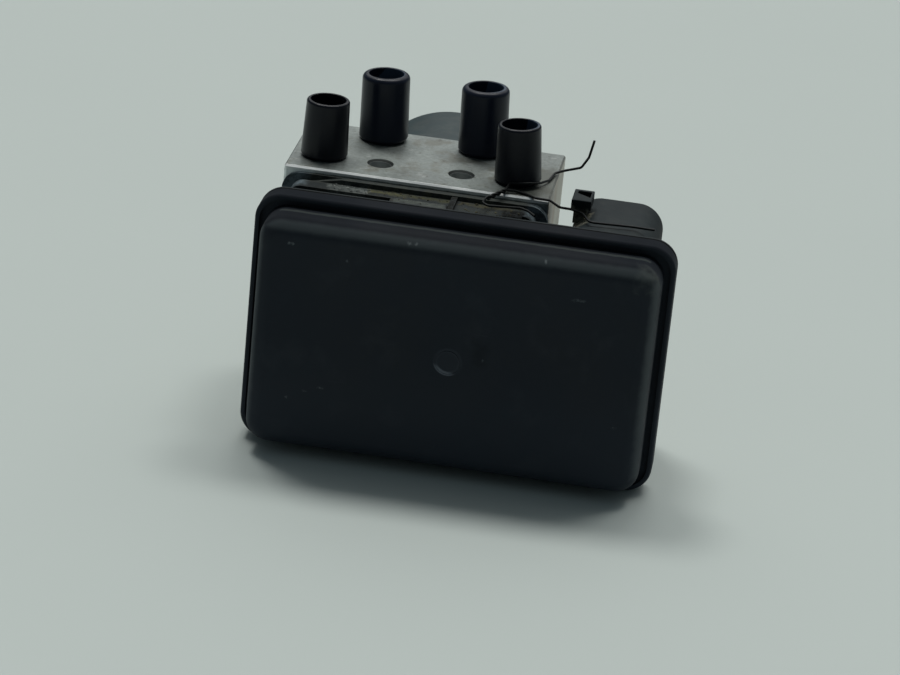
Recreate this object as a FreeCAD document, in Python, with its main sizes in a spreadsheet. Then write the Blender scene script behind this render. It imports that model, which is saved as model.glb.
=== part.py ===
import FreeCAD, Part
import math
import os
import Sketcher
from FreeCAD import Placement, Rotation, Vector

# An ABS module of two brake circuits. X runs to the right, Y runs from the
# controller's lid back to the motor, and Z runs up. X = 0 is the middle of the
# controller, Y = 0 is half of the whole depth, and Z = 0 is what it rests on.
DOC = FreeCAD.newDocument("abs_module")
SHEET = DOC.addObject("Spreadsheet::Sheet", "Sizes")

SIZES = {
    # controller outline, round the block on the left and the plug on the right
    "block_wide": "80.95", "plug_wide": "26.9", "left_margin": "3.65", "between": "7", "right_margin": "7.5",
    "ecu_width": "=left_margin + block_wide + between + plug_wide + right_margin",
    "ecu_high": "79", "ecu_corner": "8",
    "lid_flange": "6.3", "case_flange": "2.2", "lid_stand": "12.3", "lid_inset": "3.3",
    "lid_corner": "7", "lid_wall": "2.4", "lid_round": "5",
    "weld_groove": "1.9", "weld_groove_deep": "1.6", "flange_round": "1.2",
    "gate_ring": "4", "gate_ring_inner": "3.4", "gate_deep": "0.2", "gate_height": "38.7",
    # valve block
    "block_left": "=left_margin - ecu_width / 2", "block_right": "=block_left + block_wide",
    "block_top": "79.9", "block_depth": "42.8",
    "block_edge": "0.5", "block_corner": "0.8", "front_gap": "24",
    # stations along Y, counted from the lid's face
    "can_long": "62.8", "pot_stand": "3",
    "depth_total": "=lid_stand + front_gap + block_depth + can_long + pot_stand",
    "lid_front": "=-depth_total / 2",
    "flange_front": "=lid_front + lid_stand",
    "seam": "=flange_front + lid_flange",
    "flange_back": "=seam + case_flange",
    "block_front": "=flange_front + front_gap",
    "block_back": "=block_front + block_depth",
    "can_back": "=block_back + can_long",
    "motor_end": "=can_back + pot_stand",
    "lid_inner": "=lid_front + lid_wall",
    # stations across X and up Z
    "ecu_right": "=ecu_width / 2", "ecu_left": "=-ecu_width / 2",
    "lid_right": "=ecu_right - lid_inset", "lid_left": "=ecu_left + lid_inset",
    "lid_high": "=ecu_high - lid_inset",
    "room_right": "=lid_right - lid_wall", "room_left": "=lid_left + lid_wall",
    "room_high": "=lid_high - lid_wall", "room_low": "=lid_inset + lid_wall",
    "room_corner": "=lid_corner - lid_wall",
    # housing between flange and block
    "land_left": "=block_left - 0.15", "land_right": "=block_right + 0.4",
    "land_low": "0.8", "land_high": "=block_top - 1.6",
    "land_corner": "5.5", "land_thick": "2.7", "land_plate": "0.9", "neck_inset": "3.2", "neck_corner": "4",
    "neck_left": "=land_left + neck_inset", "neck_right": "=land_right - neck_inset",
    "neck_low": "=land_low + neck_inset", "neck_high": "=land_high - neck_inset",
    "land_front": "=block_front - land_thick", "plate_front": "=block_front - land_plate",
    "slope_far": "18.5", "slope_near": "6.8", "slope_drop": "2.4", "slope_end": "7.5",
    "ledge_deep": "5.65", "ledge_front": "=land_front - ledge_deep", "ledge_high": "=land_high - 1.4",
    "ledge_right": "=neck_right - neck_corner",
    "shelf_left": "=axis_x - 4.5", "shelf_right": "=axis_x + 12.6", "shelf_deep": "3.4",
    "shelf_high": "=land_high + 0.2", "rib_right": "=shelf_right + 1.8", "rib_high": "=land_high - 0.3",
    "seam_edge": "0.35", "rim_round": "0.9",
    "partition": "2", "chamber_end": "=seam + partition",
    "chamber_left": "=block_left + 11.85", "chamber_right": "=block_right - 13.1",
    "chamber_low": "13", "chamber_high": "69",
    "chamber_corner": "5",
    "seal_inset": "1.6", "seal_wide": "2", "seal_deep": "1.5",
    "seal_left_in": "=chamber_left - seal_inset", "seal_right_in": "=chamber_right + seal_inset",
    "seal_low_in": "=chamber_low - seal_inset", "seal_high_in": "=chamber_high + seal_inset",
    "seal_corner_in": "=chamber_corner + seal_inset", "seal_corner": "=seal_corner_in + seal_wide",
    "seal_left": "=seal_left_in - seal_wide", "seal_right": "=seal_right_in + seal_wide",
    "seal_low": "=seal_low_in - seal_wide", "seal_high": "=seal_high_in + seal_wide",
    # connector shroud, open to the back
    "plug_left": "=block_right + between", "plug_right": "=plug_left + plug_wide",
    "plug_low": "5", "plug_high": "76.3",
    "plug_corner": "8", "plug_wall": "2.2", "plug_long": "34", "plug_floor": "8",
    "plug_mouth": "=flange_back + plug_long", "plug_base": "=flange_back + plug_floor",
    "mouth_left": "=plug_left + plug_wall", "mouth_right": "=plug_right - plug_wall",
    "mouth_low": "=plug_low + plug_wall", "mouth_high": "=plug_high - plug_wall",
    "mouth_corner": "=plug_corner - plug_wall",
    # latch boss on the shroud: a head on a narrower neck, with a slanted hollow
    "boss_left": "=plug_left - 0.4", "boss_right": "=boss_left + 6", "boss_back": "=plug_mouth - 8.4",
    "boss_front": "=boss_back - 9.7", "boss_top": "=plug_high + 5", "boss_under": "=boss_top - 3.1",
    "boss_neck_left": "=plug_left + 0.4", "boss_neck_right": "=boss_right - 1.2",
    "boss_neck_front": "=boss_front + 1.6", "boss_neck_back": "=boss_back - 0.6", "boss_foot": "=plug_high - 3",
    "boss_slot_left": "=boss_left + 1.2", "boss_slot_right": "=boss_right - 0.7",
    "boss_slot_front": "=boss_front + 3.2", "boss_slot_near": "=boss_back - 3.6",
    "boss_slot_back": "=boss_back - 1.5", "boss_slot_deep": "2", "boss_edge": "0.4",
    # circuit board
    "post_high": "3.3", "board_thick": "1.6", "board_left": "=room_left + 1.5",
    "board_right": "=room_right - 1.5", "board_low": "=room_low + 0.8", "board_high": "=room_high - 0.8",
    "board_corner": "2",
    "board_back": "=seam - post_high", "board_front": "=board_back - board_thick",
    "post_wide": "2.5", "post_inset": "4.5",
    "post_left": "=board_left + post_inset", "post_right": "=board_right - post_inset",
    "post_low": "=board_low + post_inset", "post_top": "=board_high - post_inset",
    # shared bores and running clearances
    "seat_gap": "0.02", "run_gap": "0.04",
    # ports on top
    "small_port": "4.45", "large_port": "5.45", "port_deep": "13", "port_drill": "1.8",
    "small_port_rim": "5.2", "large_port_rim": "6.2", "port_rim_deep": "0.8",
    "small_drill_deep": "28", "large_drill_deep": "38",
    "port_a_x": "=block_left + block_wide * 0.1217", "port_b_x": "=block_left + block_wide * 0.3033",
    "port_c_x": "=block_left + block_wide * 0.6875", "port_d_x": "=block_left + block_wide * 0.8604",
    "small_port_y": "=block_front + 12.8", "large_port_y": "=block_back - 7.8",
    # mounting threads on top
    "mount_x": "=axis_x + 0.6", "mount_space": "25", "mount_y": "=block_front + 12.3",
    "mount_hole": "3.4", "mount_rim": "4.1", "mount_deep": "18",
    "mount_left_x": "=mount_x - mount_space / 2", "mount_right_x": "=mount_x + mount_space / 2",
    # motor axis, cavity and bearings
    "axis_x": "=block_left + block_wide * 0.4861", "axis_z": "40", "cavity": "11", "cavity_deep": "22",
    "cavity_end": "=block_back - cavity_deep",
    "shaft": "4", "front_bearing_wide": "7", "rear_bearing": "8", "rear_bearing_wide": "5",
    "front_bearing_start": "=block_back - front_bearing_wide",
    # valves
    "valve_span": "=block_wide * 0.3212", "valve_left_x": "=axis_x - valve_span / 2",
    "valve_right_x": "=axis_x + valve_span / 2",
    "inlet_z": "=axis_z + valve_span / 2", "outlet_z": "=axis_z - valve_span / 2",
    "inlet_bore": "5.5", "outlet_bore": "6", "valve_deep": "14", "valve_mouth": "7.2",
    "valve_mouth_deep": "2", "valve_nose": "3", "valve_nose_long": "2", "dome": "3.2",
    "dome_long": "14.8", "dome_round": "1.4",
    "valve_shoulder": "=block_front + valve_mouth_deep", "valve_end": "=block_front + valve_deep",
    "nose_start": "=valve_end - valve_nose_long", "dome_tip": "=block_front - dome_long",
    "dome_edge": "=dome_tip + dome_round", "dome_top": "=dome - dome_round",
    # coils over the valves
    "coil": "9.6", "coil_waist": "9", "coil_bore": "3.4", "coil_flange": "1.6",
    "coil_back": "=block_front - 1", "coil_front": "=chamber_end",
    "coil_waist_front": "=coil_front + coil_flange", "coil_waist_back": "=coil_back - coil_flange",
    "coil_pin": "0.5", "coil_pin_out": "6.5", "coil_pin_hole": "0.8", "coil_pin_spread": "2.5",
    # low-pressure accumulators in the bottom
    "store_left_x": "=axis_x - 17.4", "store_right_x": "=axis_x + 17.4", "store_y": "=block_back - 12.5",
    "store_bore": "8", "store_deep": "27", "store_mouth": "9.5", "store_mouth_deep": "5",
    "store_piston_low": "17", "store_piston_top": "26", "store_cup": "6.4",
    "store_cup_deep": "2", "store_cup_top": "=store_piston_low + store_cup_deep",
    "store_cap_in": "=store_mouth_deep - 2", "store_link_z": "25", "store_link": "1.5",
    "store_link_deep": "=store_y - block_front", "store_spring": "5.4",
    "store_wire": "0.6", "store_rise": "0.3", "store_cap_low": "=store_rise",
    # pump
    "pump_y": "=block_back - 12.3", "pump_bore": "4", "pump_mouth": "7", "pump_step": "27",
    "plunger": "=pump_bore - run_gap", "plunger_in": "8.8", "plunger_out": "22",
    "plunger_cup": "2.8", "plunger_cup_deep": "3", "plunger_cup_end": "=plunger_out - plunger_cup_deep",
    "stopper_out": "37", "stopper_cup_end": "30", "pump_spring": "2.1", "pump_wire": "0.4",
    "pump_left_mouth": "=axis_x - pump_step - block_left",
    "pump_right_mouth": "=block_right - axis_x - pump_step",
    "pump_left_bore": "=axis_x - block_left - cavity + 1",
    "pump_right_bore": "=block_right - axis_x - cavity + 1",
    # eccentric on the shaft
    "throw": "1", "eccentric": "6", "ring": "7.5", "eccentric_wide": "9",
    "eccentric_front": "=pump_y - eccentric_wide / 2", "eccentric_back": "=pump_y + eccentric_wide / 2",
    "eccentric_z": "=axis_z - throw", "shaft_front": "=eccentric_front - 1.2",
    # motor can
    "can": "28.5", "can_wall": "1.6", "can_round": "4", "can_flange": "31.5", "can_flange_thick": "2",
    "lobe": "5.5", "lobe_reach": "33", "pot": "=rear_bearing + can_wall",
    "can_inner": "=can - can_wall", "can_inner_end": "=can_back - can_wall",
    "can_flange_back": "=block_back + can_flange_thick", "pot_inner_end": "=motor_end - can_wall",
    "rear_bearing_front": "=pot_inner_end - rear_bearing_wide",
    "can_round_start": "=can_back - can_round", "can_round_end": "=can - can_round",
    # motor screws
    "motor_thread": "2.1", "motor_thread_deep": "10", "motor_screw_gap": "0.4", "motor_head": "4.1",
    "motor_head_long": "3.6", "motor_socket": "1.9", "motor_socket_deep": "2",
    "motor_lug_hole": "=motor_thread + motor_screw_gap",
    "motor_head_end": "=can_flange_back + motor_head_long",
    "motor_socket_end": "=motor_head_end - motor_socket_deep",
    "motor_tip": "=block_back - motor_thread_deep",
    # housing screws
    "case_screw_left": "=block_left + 5.15", "case_screw_right": "=block_right - 5.1", "case_screw_high": "58",
    "case_screw_low": "7.2", "case_screw_hole": "2.4", "case_sink": "4.4", "case_sink_deep": "5",
    "case_thread": "2", "case_thread_deep": "12", "case_head": "3.9", "case_head_long": "3.4",
    "case_socket": "1.8", "case_socket_deep": "2",
    "case_seat": "=block_back - case_sink_deep", "case_tip": "=block_front - case_thread_deep",
    "case_head_end": "=case_seat + case_head_long", "case_socket_end": "=case_head_end - case_socket_deep",
    # brush holder in the mouth of the can
    "holder": "=can_inner - seat_gap", "holder_thick": "3", "holder_hole": "5",
    "holder_back": "=block_back + holder_thick", "box_in": "9.6", "box_out": "22",
    "box_half": "4.6", "box_deep": "10.4", "slot_out": "20.2", "slot_half": "2.6",
    "box_end": "=holder_back + box_deep", "brush_y": "=holder_back + 5.4",
    "brush_half": "2.5", "brush_in": "8.1", "brush_out": "15.4",
    "slot_front": "=brush_y - slot_half", "slot_back": "=brush_y + slot_half",
    "brush_front": "=brush_y - brush_half", "brush_back": "=brush_y + brush_half",
    "slot_low": "=axis_z - slot_half", "slot_high": "=axis_z + slot_half",
    "box_low": "=axis_z - box_half", "box_high": "=axis_z + box_half",
    "brush_spring": "1.7", "brush_wire": "0.3",
    # commutator, armature and magnets
    "commutator": "8", "commutator_front": "=holder_back + 1", "commutator_back": "=holder_back + 11.4",
    "core": "21.8", "core_front": "=holder_back + 18.5", "core_back": "=can_inner_end - 9.7",
    "slot_wide": "3.2", "slot_bottom": "11", "slot_top": "20", "slot_mouth": "1",
    "coil_end_out": "19.4", "coil_end_in": "7", "coil_end_long": "5", "winding_gap": "0.1",
    "core_hub": "6",
    "winding_front": "=core_front - coil_end_long", "winding_back": "=core_back + coil_end_long",
    "magnet_out": "=can_inner - seat_gap", "magnet_in": "22.6", "magnet_angle": "136",
    "magnet_front": "=core_front - 1", "magnet_back": "=core_back + 1",
    # power leads from the motor to the board
    "lead_z": "60.5", "lead_spread": "3", "lead": "1", "lead_hole": "5", "lead_gap": "0.15",
    "lead_sleeve": "=lead_hole - seat_gap", "lead_left_x": "=axis_x - lead_spread",
    "lead_right_x": "=axis_x + lead_spread", "lead_end": "=block_back + 4.2",
    "lead_bore": "=lead + lead_gap",
}

TURNS = {"X": Rotation(Vector(0, 1, 0), 90), "Y": Rotation(Vector(1, 0, 0), -90), "Z": Rotation()}
LEVEL_SIGN = {"XY_Plane": "", "XZ_Plane": "-", "YZ_Plane": ""}


def fill_sheet():
    """One row for each size: its name, and its value under that name."""
    for row, (name, value) in enumerate(SIZES.items(), start=1):
        SHEET.set(f"A{row}", name)
        SHEET.set(f"B{row}", value)
        SHEET.setAlias(f"B{row}", name)
    DOC.recompute()


def terms(text):
    """Splits a sum such as 'axis_x - throw' into signed names."""
    return text.replace("- ", "-").replace("+ ", "").split()


def number(text):
    """The value of a size, or of a sum of sizes."""
    total = 0.0
    for term in terms(text):
        name = term.lstrip("-")
        size = 0.0 if name == "0" else float(getattr(SHEET, name))
        total += -size if term.startswith("-") else size
    return total


def link(text):
    """The same sum as an expression on the sheet."""
    joined = ""
    for term in terms(text):
        name = term.lstrip("-")
        cell = name if name == "0" else "Sizes." + name
        joined += ("-" if term.startswith("-") else "+") + cell
    return joined.lstrip("+")


def place(thing, at, turn=None):
    """Puts an object at three sums of sizes."""
    if turn is not None:
        thing.Placement = Placement(Vector(), turn)
    for axis, text in zip("xyz", at):
        if text != "0":
            thing.setExpression(f"Placement.Base.{axis}", link(text))


def new_body(name, at=("0", "0", "0"), turn=None):
    body = DOC.addObject("PartDesign::Body", name)
    place(body, at, turn)
    return body


def new_sketch(body, role, level="0"):
    """A sketch on one of the body's own planes, moved to a level along it."""
    sketch = body.newObject("Sketcher::SketchObject", "outline")
    plane = [item for item in body.Origin.OriginFeatures if item.Role == role][0]
    sketch.AttachmentSupport = [(plane, "")]
    sketch.MapMode = "FlatFace"
    if level != "0":
        sketch.setExpression("AttachmentOffset.Base.z", f"{LEVEL_SIGN[role]}({link(level)})")
    return sketch


def fix(sketch, kind, where, text):
    """A distance or radius that follows the sheet."""
    index = sketch.addConstraint(Sketcher.Constraint(kind, *where, number(text)))
    sketch.setExpression(f"Constraints[{index}]", link(text))


def pin_down(sketch, geometry, position, across, up):
    fix(sketch, "DistanceX", (-1, 1, geometry, position), across)
    fix(sketch, "DistanceY", (-1, 1, geometry, position), up)


def add_circle(sketch, across, up, radius):
    centre = Vector(number(across), number(up), 0)
    circle = sketch.addGeometry(Part.Circle(centre, Vector(0, 0, 1), number(radius)), False)
    pin_down(sketch, circle, 3, across, up)
    fix(sketch, "Radius", (circle,), radius)


def add_outline(sketch, corners):
    """A closed run of straight lines through points given as sums of sizes."""
    spots = [Vector(number(across), number(up), 0) for across, up in corners]
    lines = []
    for index, spot in enumerate(spots):
        lines.append(sketch.addGeometry(Part.LineSegment(spot, spots[(index + 1) % len(spots)]), False))
    for index, line in enumerate(lines):
        sketch.addConstraint(Sketcher.Constraint("Coincident", line, 2, lines[(index + 1) % len(lines)], 1))
        pin_down(sketch, line, 1, *corners[index])


def add_box(sketch, left, low, right, high):
    add_outline(sketch, [(left, low), (right, low), (right, high), (left, high)])


def add_rounded(sketch, left, low, right, high, corner):
    """A rectangle with four rounded corners."""
    in_left, in_right = f"{left} + {corner}", f"{right} - {corner}"
    in_low, in_high = f"{low} + {corner}", f"{high} - {corner}"
    sides = [((in_left, low), (in_right, low)), ((right, in_low), (right, in_high)),
             ((in_right, high), (in_left, high)), ((left, in_high), (left, in_low))]
    centres = [(in_right, in_low), (in_right, in_high), (in_left, in_high), (in_left, in_low)]
    lines = []
    for start, end in sides:
        line = Part.LineSegment(*[Vector(number(a), number(b), 0) for a, b in (start, end)])
        lines.append(sketch.addGeometry(line, False))
        pin_down(sketch, lines[-1], 1, *start)
        pin_down(sketch, lines[-1], 2, *end)
    for index, (across, up) in enumerate(centres):
        circle = Part.Circle(Vector(number(across), number(up), 0), Vector(0, 0, 1), number(corner))
        begin = math.radians(90 * index - 90)
        arc = sketch.addGeometry(Part.ArcOfCircle(circle, begin, begin + math.pi / 2), False)
        sketch.addConstraint(Sketcher.Constraint("Coincident", lines[index], 2, arc, 1))
        sketch.addConstraint(Sketcher.Constraint("Coincident", arc, 2, lines[(index + 1) % 4], 1))
        fix(sketch, "Radius", (arc,), corner)


def pad(body, sketch, length, back=False):
    """Material from the sketch, along its normal or the other way."""
    feature = body.newObject("PartDesign::Pad", "pad")
    feature.Profile = sketch
    feature.Reversed = back
    feature.setExpression("Length", link(length))
    DOC.recompute()
    return feature


def cut(body, sketch, length, forward=False):
    """A pocket against the sketch's normal or along it, which must remove material."""
    before = body.Shape.Volume
    feature = body.newObject("PartDesign::Pocket", "pocket")
    feature.Profile = sketch
    feature.Reversed = forward
    feature.setExpression("Length", link(length))
    DOC.recompute()
    if body.Shape.Volume > before - 1e-3:
        raise RuntimeError(f"a pocket in {body.Label} removes nothing")
    return feature


def edges_where(shape, test):
    """Names of the edges whose middle point and shape pass a test."""
    names = []
    for index, edge in enumerate(shape.Edges, start=1):
        middle = edge.valueAt((edge.FirstParameter + edge.LastParameter) / 2)
        if test(middle, edge):
            names.append(f"Edge{index}")
    return names


def soften(body, feature, radius, test, kind="PartDesign::Fillet"):
    """Rounds or chamfers the edges that pass a test."""
    names = edges_where(feature.Shape, test)
    if not names:
        raise RuntimeError(f"no edge to soften on {body.Label}")
    dressed = body.newObject(kind, "edges")
    dressed.Base = (feature, names)
    dressed.setExpression("Radius" if kind.endswith("Fillet") else "Size", link(radius))
    DOC.recompute()
    return dressed


def turned(name, axis, at, profile, turn=None, angle=None):
    """A round piece: radius and station pairs spun about its own axis."""
    body = new_body(name, at, turn)
    sketch = new_sketch(body, "XZ_Plane" if axis == "Z" else "XY_Plane")
    corners = [(station, radius) if axis == "X" else (radius, station) for radius, station in profile]
    add_outline(sketch, corners)
    spin = body.newObject("PartDesign::Revolution", "spin")
    spin.Profile = sketch
    spin.ReferenceAxis = (sketch, ["H_Axis" if axis == "X" else "V_Axis"])
    if angle is not None:
        spin.Midplane = True
        spin.setExpression("Angle", link(angle))
    DOC.recompute()
    return body


def rod(name, radius, length, at, axis):
    piece = DOC.addObject("Part::Cylinder", name)
    piece.setExpression("Radius", link(radius))
    piece.setExpression("Height", link(length))
    place(piece, at, TURNS[axis])
    return piece


def brick(name, size, at):
    piece = DOC.addObject("Part::Box", name)
    for side, text in zip(("Length", "Width", "Height"), size):
        piece.setExpression(side, link(text))
    place(piece, at)
    return piece


def combine(name, kind, pieces):
    """Several pieces in one node: as a group, fused, or the first less the second."""
    whole = DOC.addObject(kind, name)
    if kind == "Part::Compound":
        whole.Links = pieces
    elif kind == "Part::MultiFuse":
        whole.Shapes = pieces
    else:
        whole.Base, whole.Tool = pieces
    DOC.recompute()
    return whole


def group(name, pieces):
    return combine(name, "Part::Compound", pieces)


# The valve block, sawn from an extruded aluminium bar and drilled from five sides

def drill(body, role, level, holes, depth, forward=False):
    """Round holes of one depth from one face."""
    sketch = new_sketch(body, role, level)
    for across, up, radius in holes:
        add_circle(sketch, across, up, radius)
    return cut(body, sketch, depth, forward)


def valve_block():
    body = new_body("valve_block")
    sketch = new_sketch(body, "XY_Plane")
    add_rounded(sketch, "block_left", "block_front", "block_right", "block_back", "block_corner")
    bar = pad(body, sketch, "block_top")
    top, low = number("block_top"), 0
    soften(body, bar, "block_edge",
           lambda spot, edge: min(abs(spot.z - top), abs(spot.z - low)) < 1e-6, "PartDesign::Chamfer")
    drill_motor_side(body)
    drill_front(body)
    drill_top(body)
    drill_sides(body)
    for depth, radius in (("store_deep", "store_bore"), ("store_mouth_deep", "store_mouth")):
        drill(body, "XY_Plane", "0", [(x, "store_y", radius) for x in ("store_left_x", "store_right_x")],
              depth, forward=True)
    return body


def motor_screw_spots():
    """The three lugs round the motor, as names of sizes for their places."""
    return [("axis_x", "lug_top_z"), ("lug_left_x", "lug_low_z"), ("lug_right_x", "lug_low_z")]


def case_screw_spots():
    return [(x, z) for x in ("case_screw_left", "case_screw_right")
            for z in ("case_screw_high", "case_screw_low")]


def drill_motor_side(body):
    drill(body, "XZ_Plane", "block_back", [("axis_x", "axis_z", "cavity")], "cavity_deep", forward=True)
    screws = [(x, z, "case_screw_hole") for x, z in case_screw_spots()]
    screws.append(("axis_x", "lead_z", "lead_hole"))
    drill(body, "XZ_Plane", "block_back", screws, "block_depth", forward=True)
    drill(body, "XZ_Plane", "block_back", [(x, z, "case_sink") for x, z in case_screw_spots()],
          "case_sink_deep", forward=True)
    drill(body, "XZ_Plane", "block_back", [(x, z, "motor_thread") for x, z in motor_screw_spots()],
          "motor_thread_deep", forward=True)


def valve_spots(height):
    return [("valve_left_x", height), ("valve_right_x", height)]


def drill_front(body):
    for height, radius in (("inlet_z", "inlet_bore"), ("outlet_z", "outlet_bore")):
        drill(body, "XZ_Plane", "block_front", [(x, z, radius) for x, z in valve_spots(height)], "valve_deep")
        drill(body, "XZ_Plane", "block_front", [(x, z, "valve_mouth") for x, z in valve_spots(height)],
              "valve_mouth_deep")
    drill(body, "XZ_Plane", "block_front",
          [(x, "store_link_z", "store_link") for x, _ in valve_spots("outlet_z")], "store_link_deep")


def drill_top(body):
    """Four pipe ports and the two mounting threads."""
    for names, y, size in ((("port_a_x", "port_d_x"), "small_port_y", "small"),
                           (("port_b_x", "port_c_x"), "large_port_y", "large")):
        drill(body, "XY_Plane", "block_top", [(x, y, f"{size}_port") for x in names], "port_deep")
        drill(body, "XY_Plane", "block_top", [(x, y, f"{size}_port_rim") for x in names], "port_rim_deep")
        drill(body, "XY_Plane", "block_top", [(x, y, "port_drill") for x in names], f"{size}_drill_deep")
    spots = [(x, "mount_y") for x in ("mount_left_x", "mount_right_x")]
    drill(body, "XY_Plane", "block_top", [(*spot, "mount_hole") for spot in spots], "mount_deep")
    top, hole = number("block_top"), number("mount_hole")
    soften(body, body.Tip, "mount_rim - mount_hole", lambda spot, edge: abs(spot.z - top) < 1e-6
           and hasattr(edge.Curve, "Radius") and abs(edge.Curve.Radius - hole) < 1e-6, "PartDesign::Chamfer")


def drill_sides(body):
    """The pump bores, opened from the left and the right face into the cavity."""
    for level, side, forward in (("block_left", "left", True), ("block_right", "right", False)):
        drill(body, "YZ_Plane", level, [("pump_y", "axis_z", "pump_bore")], f"pump_{side}_bore", forward)
        drill(body, "YZ_Plane", level, [("pump_y", "axis_z", "pump_mouth")], f"pump_{side}_mouth", forward)


# The controller: moulded housing and lid, rubber seal, board and its parts

def near_outline(spot, margin):
    """True for a point within a margin of the controller's outer faces."""
    side = number("ecu_right") - abs(spot.x)
    return min(side, spot.z, number("ecu_high") - spot.z) < margin or (
        side < number("ecu_corner") / 2 and min(spot.z, number("ecu_high") - spot.z) < number("ecu_corner") / 2)


def controller_lid():
    body = new_body("controller_lid")
    sketch = new_sketch(body, "XZ_Plane", "seam")
    add_rounded(sketch, "ecu_left", "0", "ecu_right", "ecu_high", "ecu_corner")
    flange = pad(body, sketch, "lid_flange")
    sketch = new_sketch(body, "XZ_Plane", "flange_front")
    add_rounded(sketch, "lid_left", "lid_inset", "lid_right", "lid_high", "lid_corner")
    shell = pad(body, sketch, "lid_stand")
    front = number("lid_front")
    shell = soften(body, shell, "lid_round", lambda spot, edge: abs(spot.y - front) < 1e-6)
    rim, wide = number("flange_front"), number("lid_inset") / 2
    shell = soften(body, shell, "rim_round",
                   lambda spot, edge: abs(spot.y - rim) < 1e-6 and near_outline(spot, wide))
    seam = number("seam")
    soften(body, shell, "seam_edge", lambda spot, edge: abs(spot.y - seam) < 1e-6, "PartDesign::Chamfer")
    sketch = new_sketch(body, "XZ_Plane", "seam")
    add_rounded(sketch, "room_left", "room_low", "room_right", "room_high", "room_corner")
    cut(body, sketch, "seam - lid_inner", forward=True)
    sketch = new_sketch(body, "XZ_Plane", "flange_front")
    add_rounded(sketch, "lid_left - weld_groove", "lid_inset - weld_groove", "lid_right + weld_groove",
                "lid_high + weld_groove", "lid_corner")
    add_rounded(sketch, "lid_left", "lid_inset", "lid_right", "lid_high", "lid_corner")
    cut(body, sketch, "weld_groove_deep")
    sketch = new_sketch(body, "XZ_Plane", "lid_front")
    add_circle(sketch, "0", "gate_height", "gate_ring")
    add_circle(sketch, "0", "gate_height", "gate_ring_inner")
    cut(body, sketch, "gate_deep")
    return body


def controller_housing():
    body = new_body("controller_housing")
    sketch = new_sketch(body, "XZ_Plane", "seam")
    add_rounded(sketch, "ecu_left", "0", "ecu_right", "ecu_high", "ecu_corner")
    flange = pad(body, sketch, "case_flange", back=True)
    seam, back = number("seam"), number("flange_back")
    flange = soften(body, flange, "flange_round", lambda spot, edge: abs(spot.y - back) < 1e-6)
    soften(body, flange, "seam_edge", lambda spot, edge: abs(spot.y - seam) < 1e-6, "PartDesign::Chamfer")
    land = ("land_left", "land_low", "land_right", "land_high", "land_corner")
    for level, outline, length in (
            ("flange_back", ("neck_left", "neck_low", "neck_right", "neck_high", "neck_corner"),
             "land_front - flange_back"),
            ("ledge_front", ("neck_left", "neck_low", "neck_right", "ledge_high", "neck_corner"), "ledge_deep"),
            ("land_front", land, "plate_front - land_front"),
            ("flange_back", ("plug_left", "plug_low", "plug_right", "plug_high", "plug_corner"), "plug_long")):
        sketch = new_sketch(body, "XZ_Plane", level)
        add_rounded(sketch, *outline)
        pad(body, sketch, length, back=True)
    sketch = new_sketch(body, "XZ_Plane", "plate_front")
    add_outline(sketch, [("land_left", "land_high"), ("land_left", "land_high - slope_drop - slope_end"),
                         ("land_left + slope_near", "land_high - slope_drop"),
                         ("land_left + slope_far", "land_high")])
    cut(body, sketch, "plate_front - land_front", forward=True)
    sketch = new_sketch(body, "XZ_Plane", "plate_front")
    add_rounded(sketch, *land)
    pad(body, sketch, "land_plate", back=True)
    channel_walls(body)
    latch_boss(body)
    hollow_housing(body)
    sketch = new_sketch(body, "XZ_Plane", "seam")
    for across, up in board_posts():
        add_circle(sketch, across, up, "post_wide")
    pad(body, sketch, "post_high")
    return body


def channel_walls(body):
    """A shelf, a cross rib and a raised floor in the channel between the flange and the land."""
    for corners, top in (
            (("shelf_left", "flange_back - flange_round", "shelf_right", "flange_back + shelf_deep"), "shelf_high"),
            (("shelf_right", "flange_back - flange_round", "rib_right", "land_front"), "rib_high"),
            (("rib_right", "flange_back - flange_round", "ledge_right", "land_front"), "ledge_high")):
        sketch = new_sketch(body, "XY_Plane", "neck_high")
        add_box(sketch, *corners)
        pad(body, sketch, f"{top} - neck_high")


def latch_boss(body):
    """The small block on the shroud that the plug's lever hooks behind."""
    sketch = new_sketch(body, "XY_Plane", "boss_foot")
    add_box(sketch, "boss_neck_left", "boss_neck_front", "boss_neck_right", "boss_neck_back")
    pad(body, sketch, "boss_under - boss_foot")
    sketch = new_sketch(body, "XY_Plane", "boss_under")
    add_box(sketch, "boss_left", "boss_front", "boss_right", "boss_back")
    head = pad(body, sketch, "boss_top - boss_under")
    top, left, right = number("boss_top"), number("boss_left"), number("boss_right")
    soften(body, head, "boss_edge", lambda spot, edge: abs(spot.z - top) < 1e-6 and left - 1 < spot.x < right + 1)
    sketch = new_sketch(body, "XY_Plane", "boss_top")
    add_outline(sketch, [("boss_slot_left", "boss_slot_near"), ("boss_slot_right", "boss_slot_front"),
                         ("boss_slot_right", "boss_slot_back"), ("boss_slot_left", "boss_slot_back")])
    cut(body, sketch, "boss_slot_deep")


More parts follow.
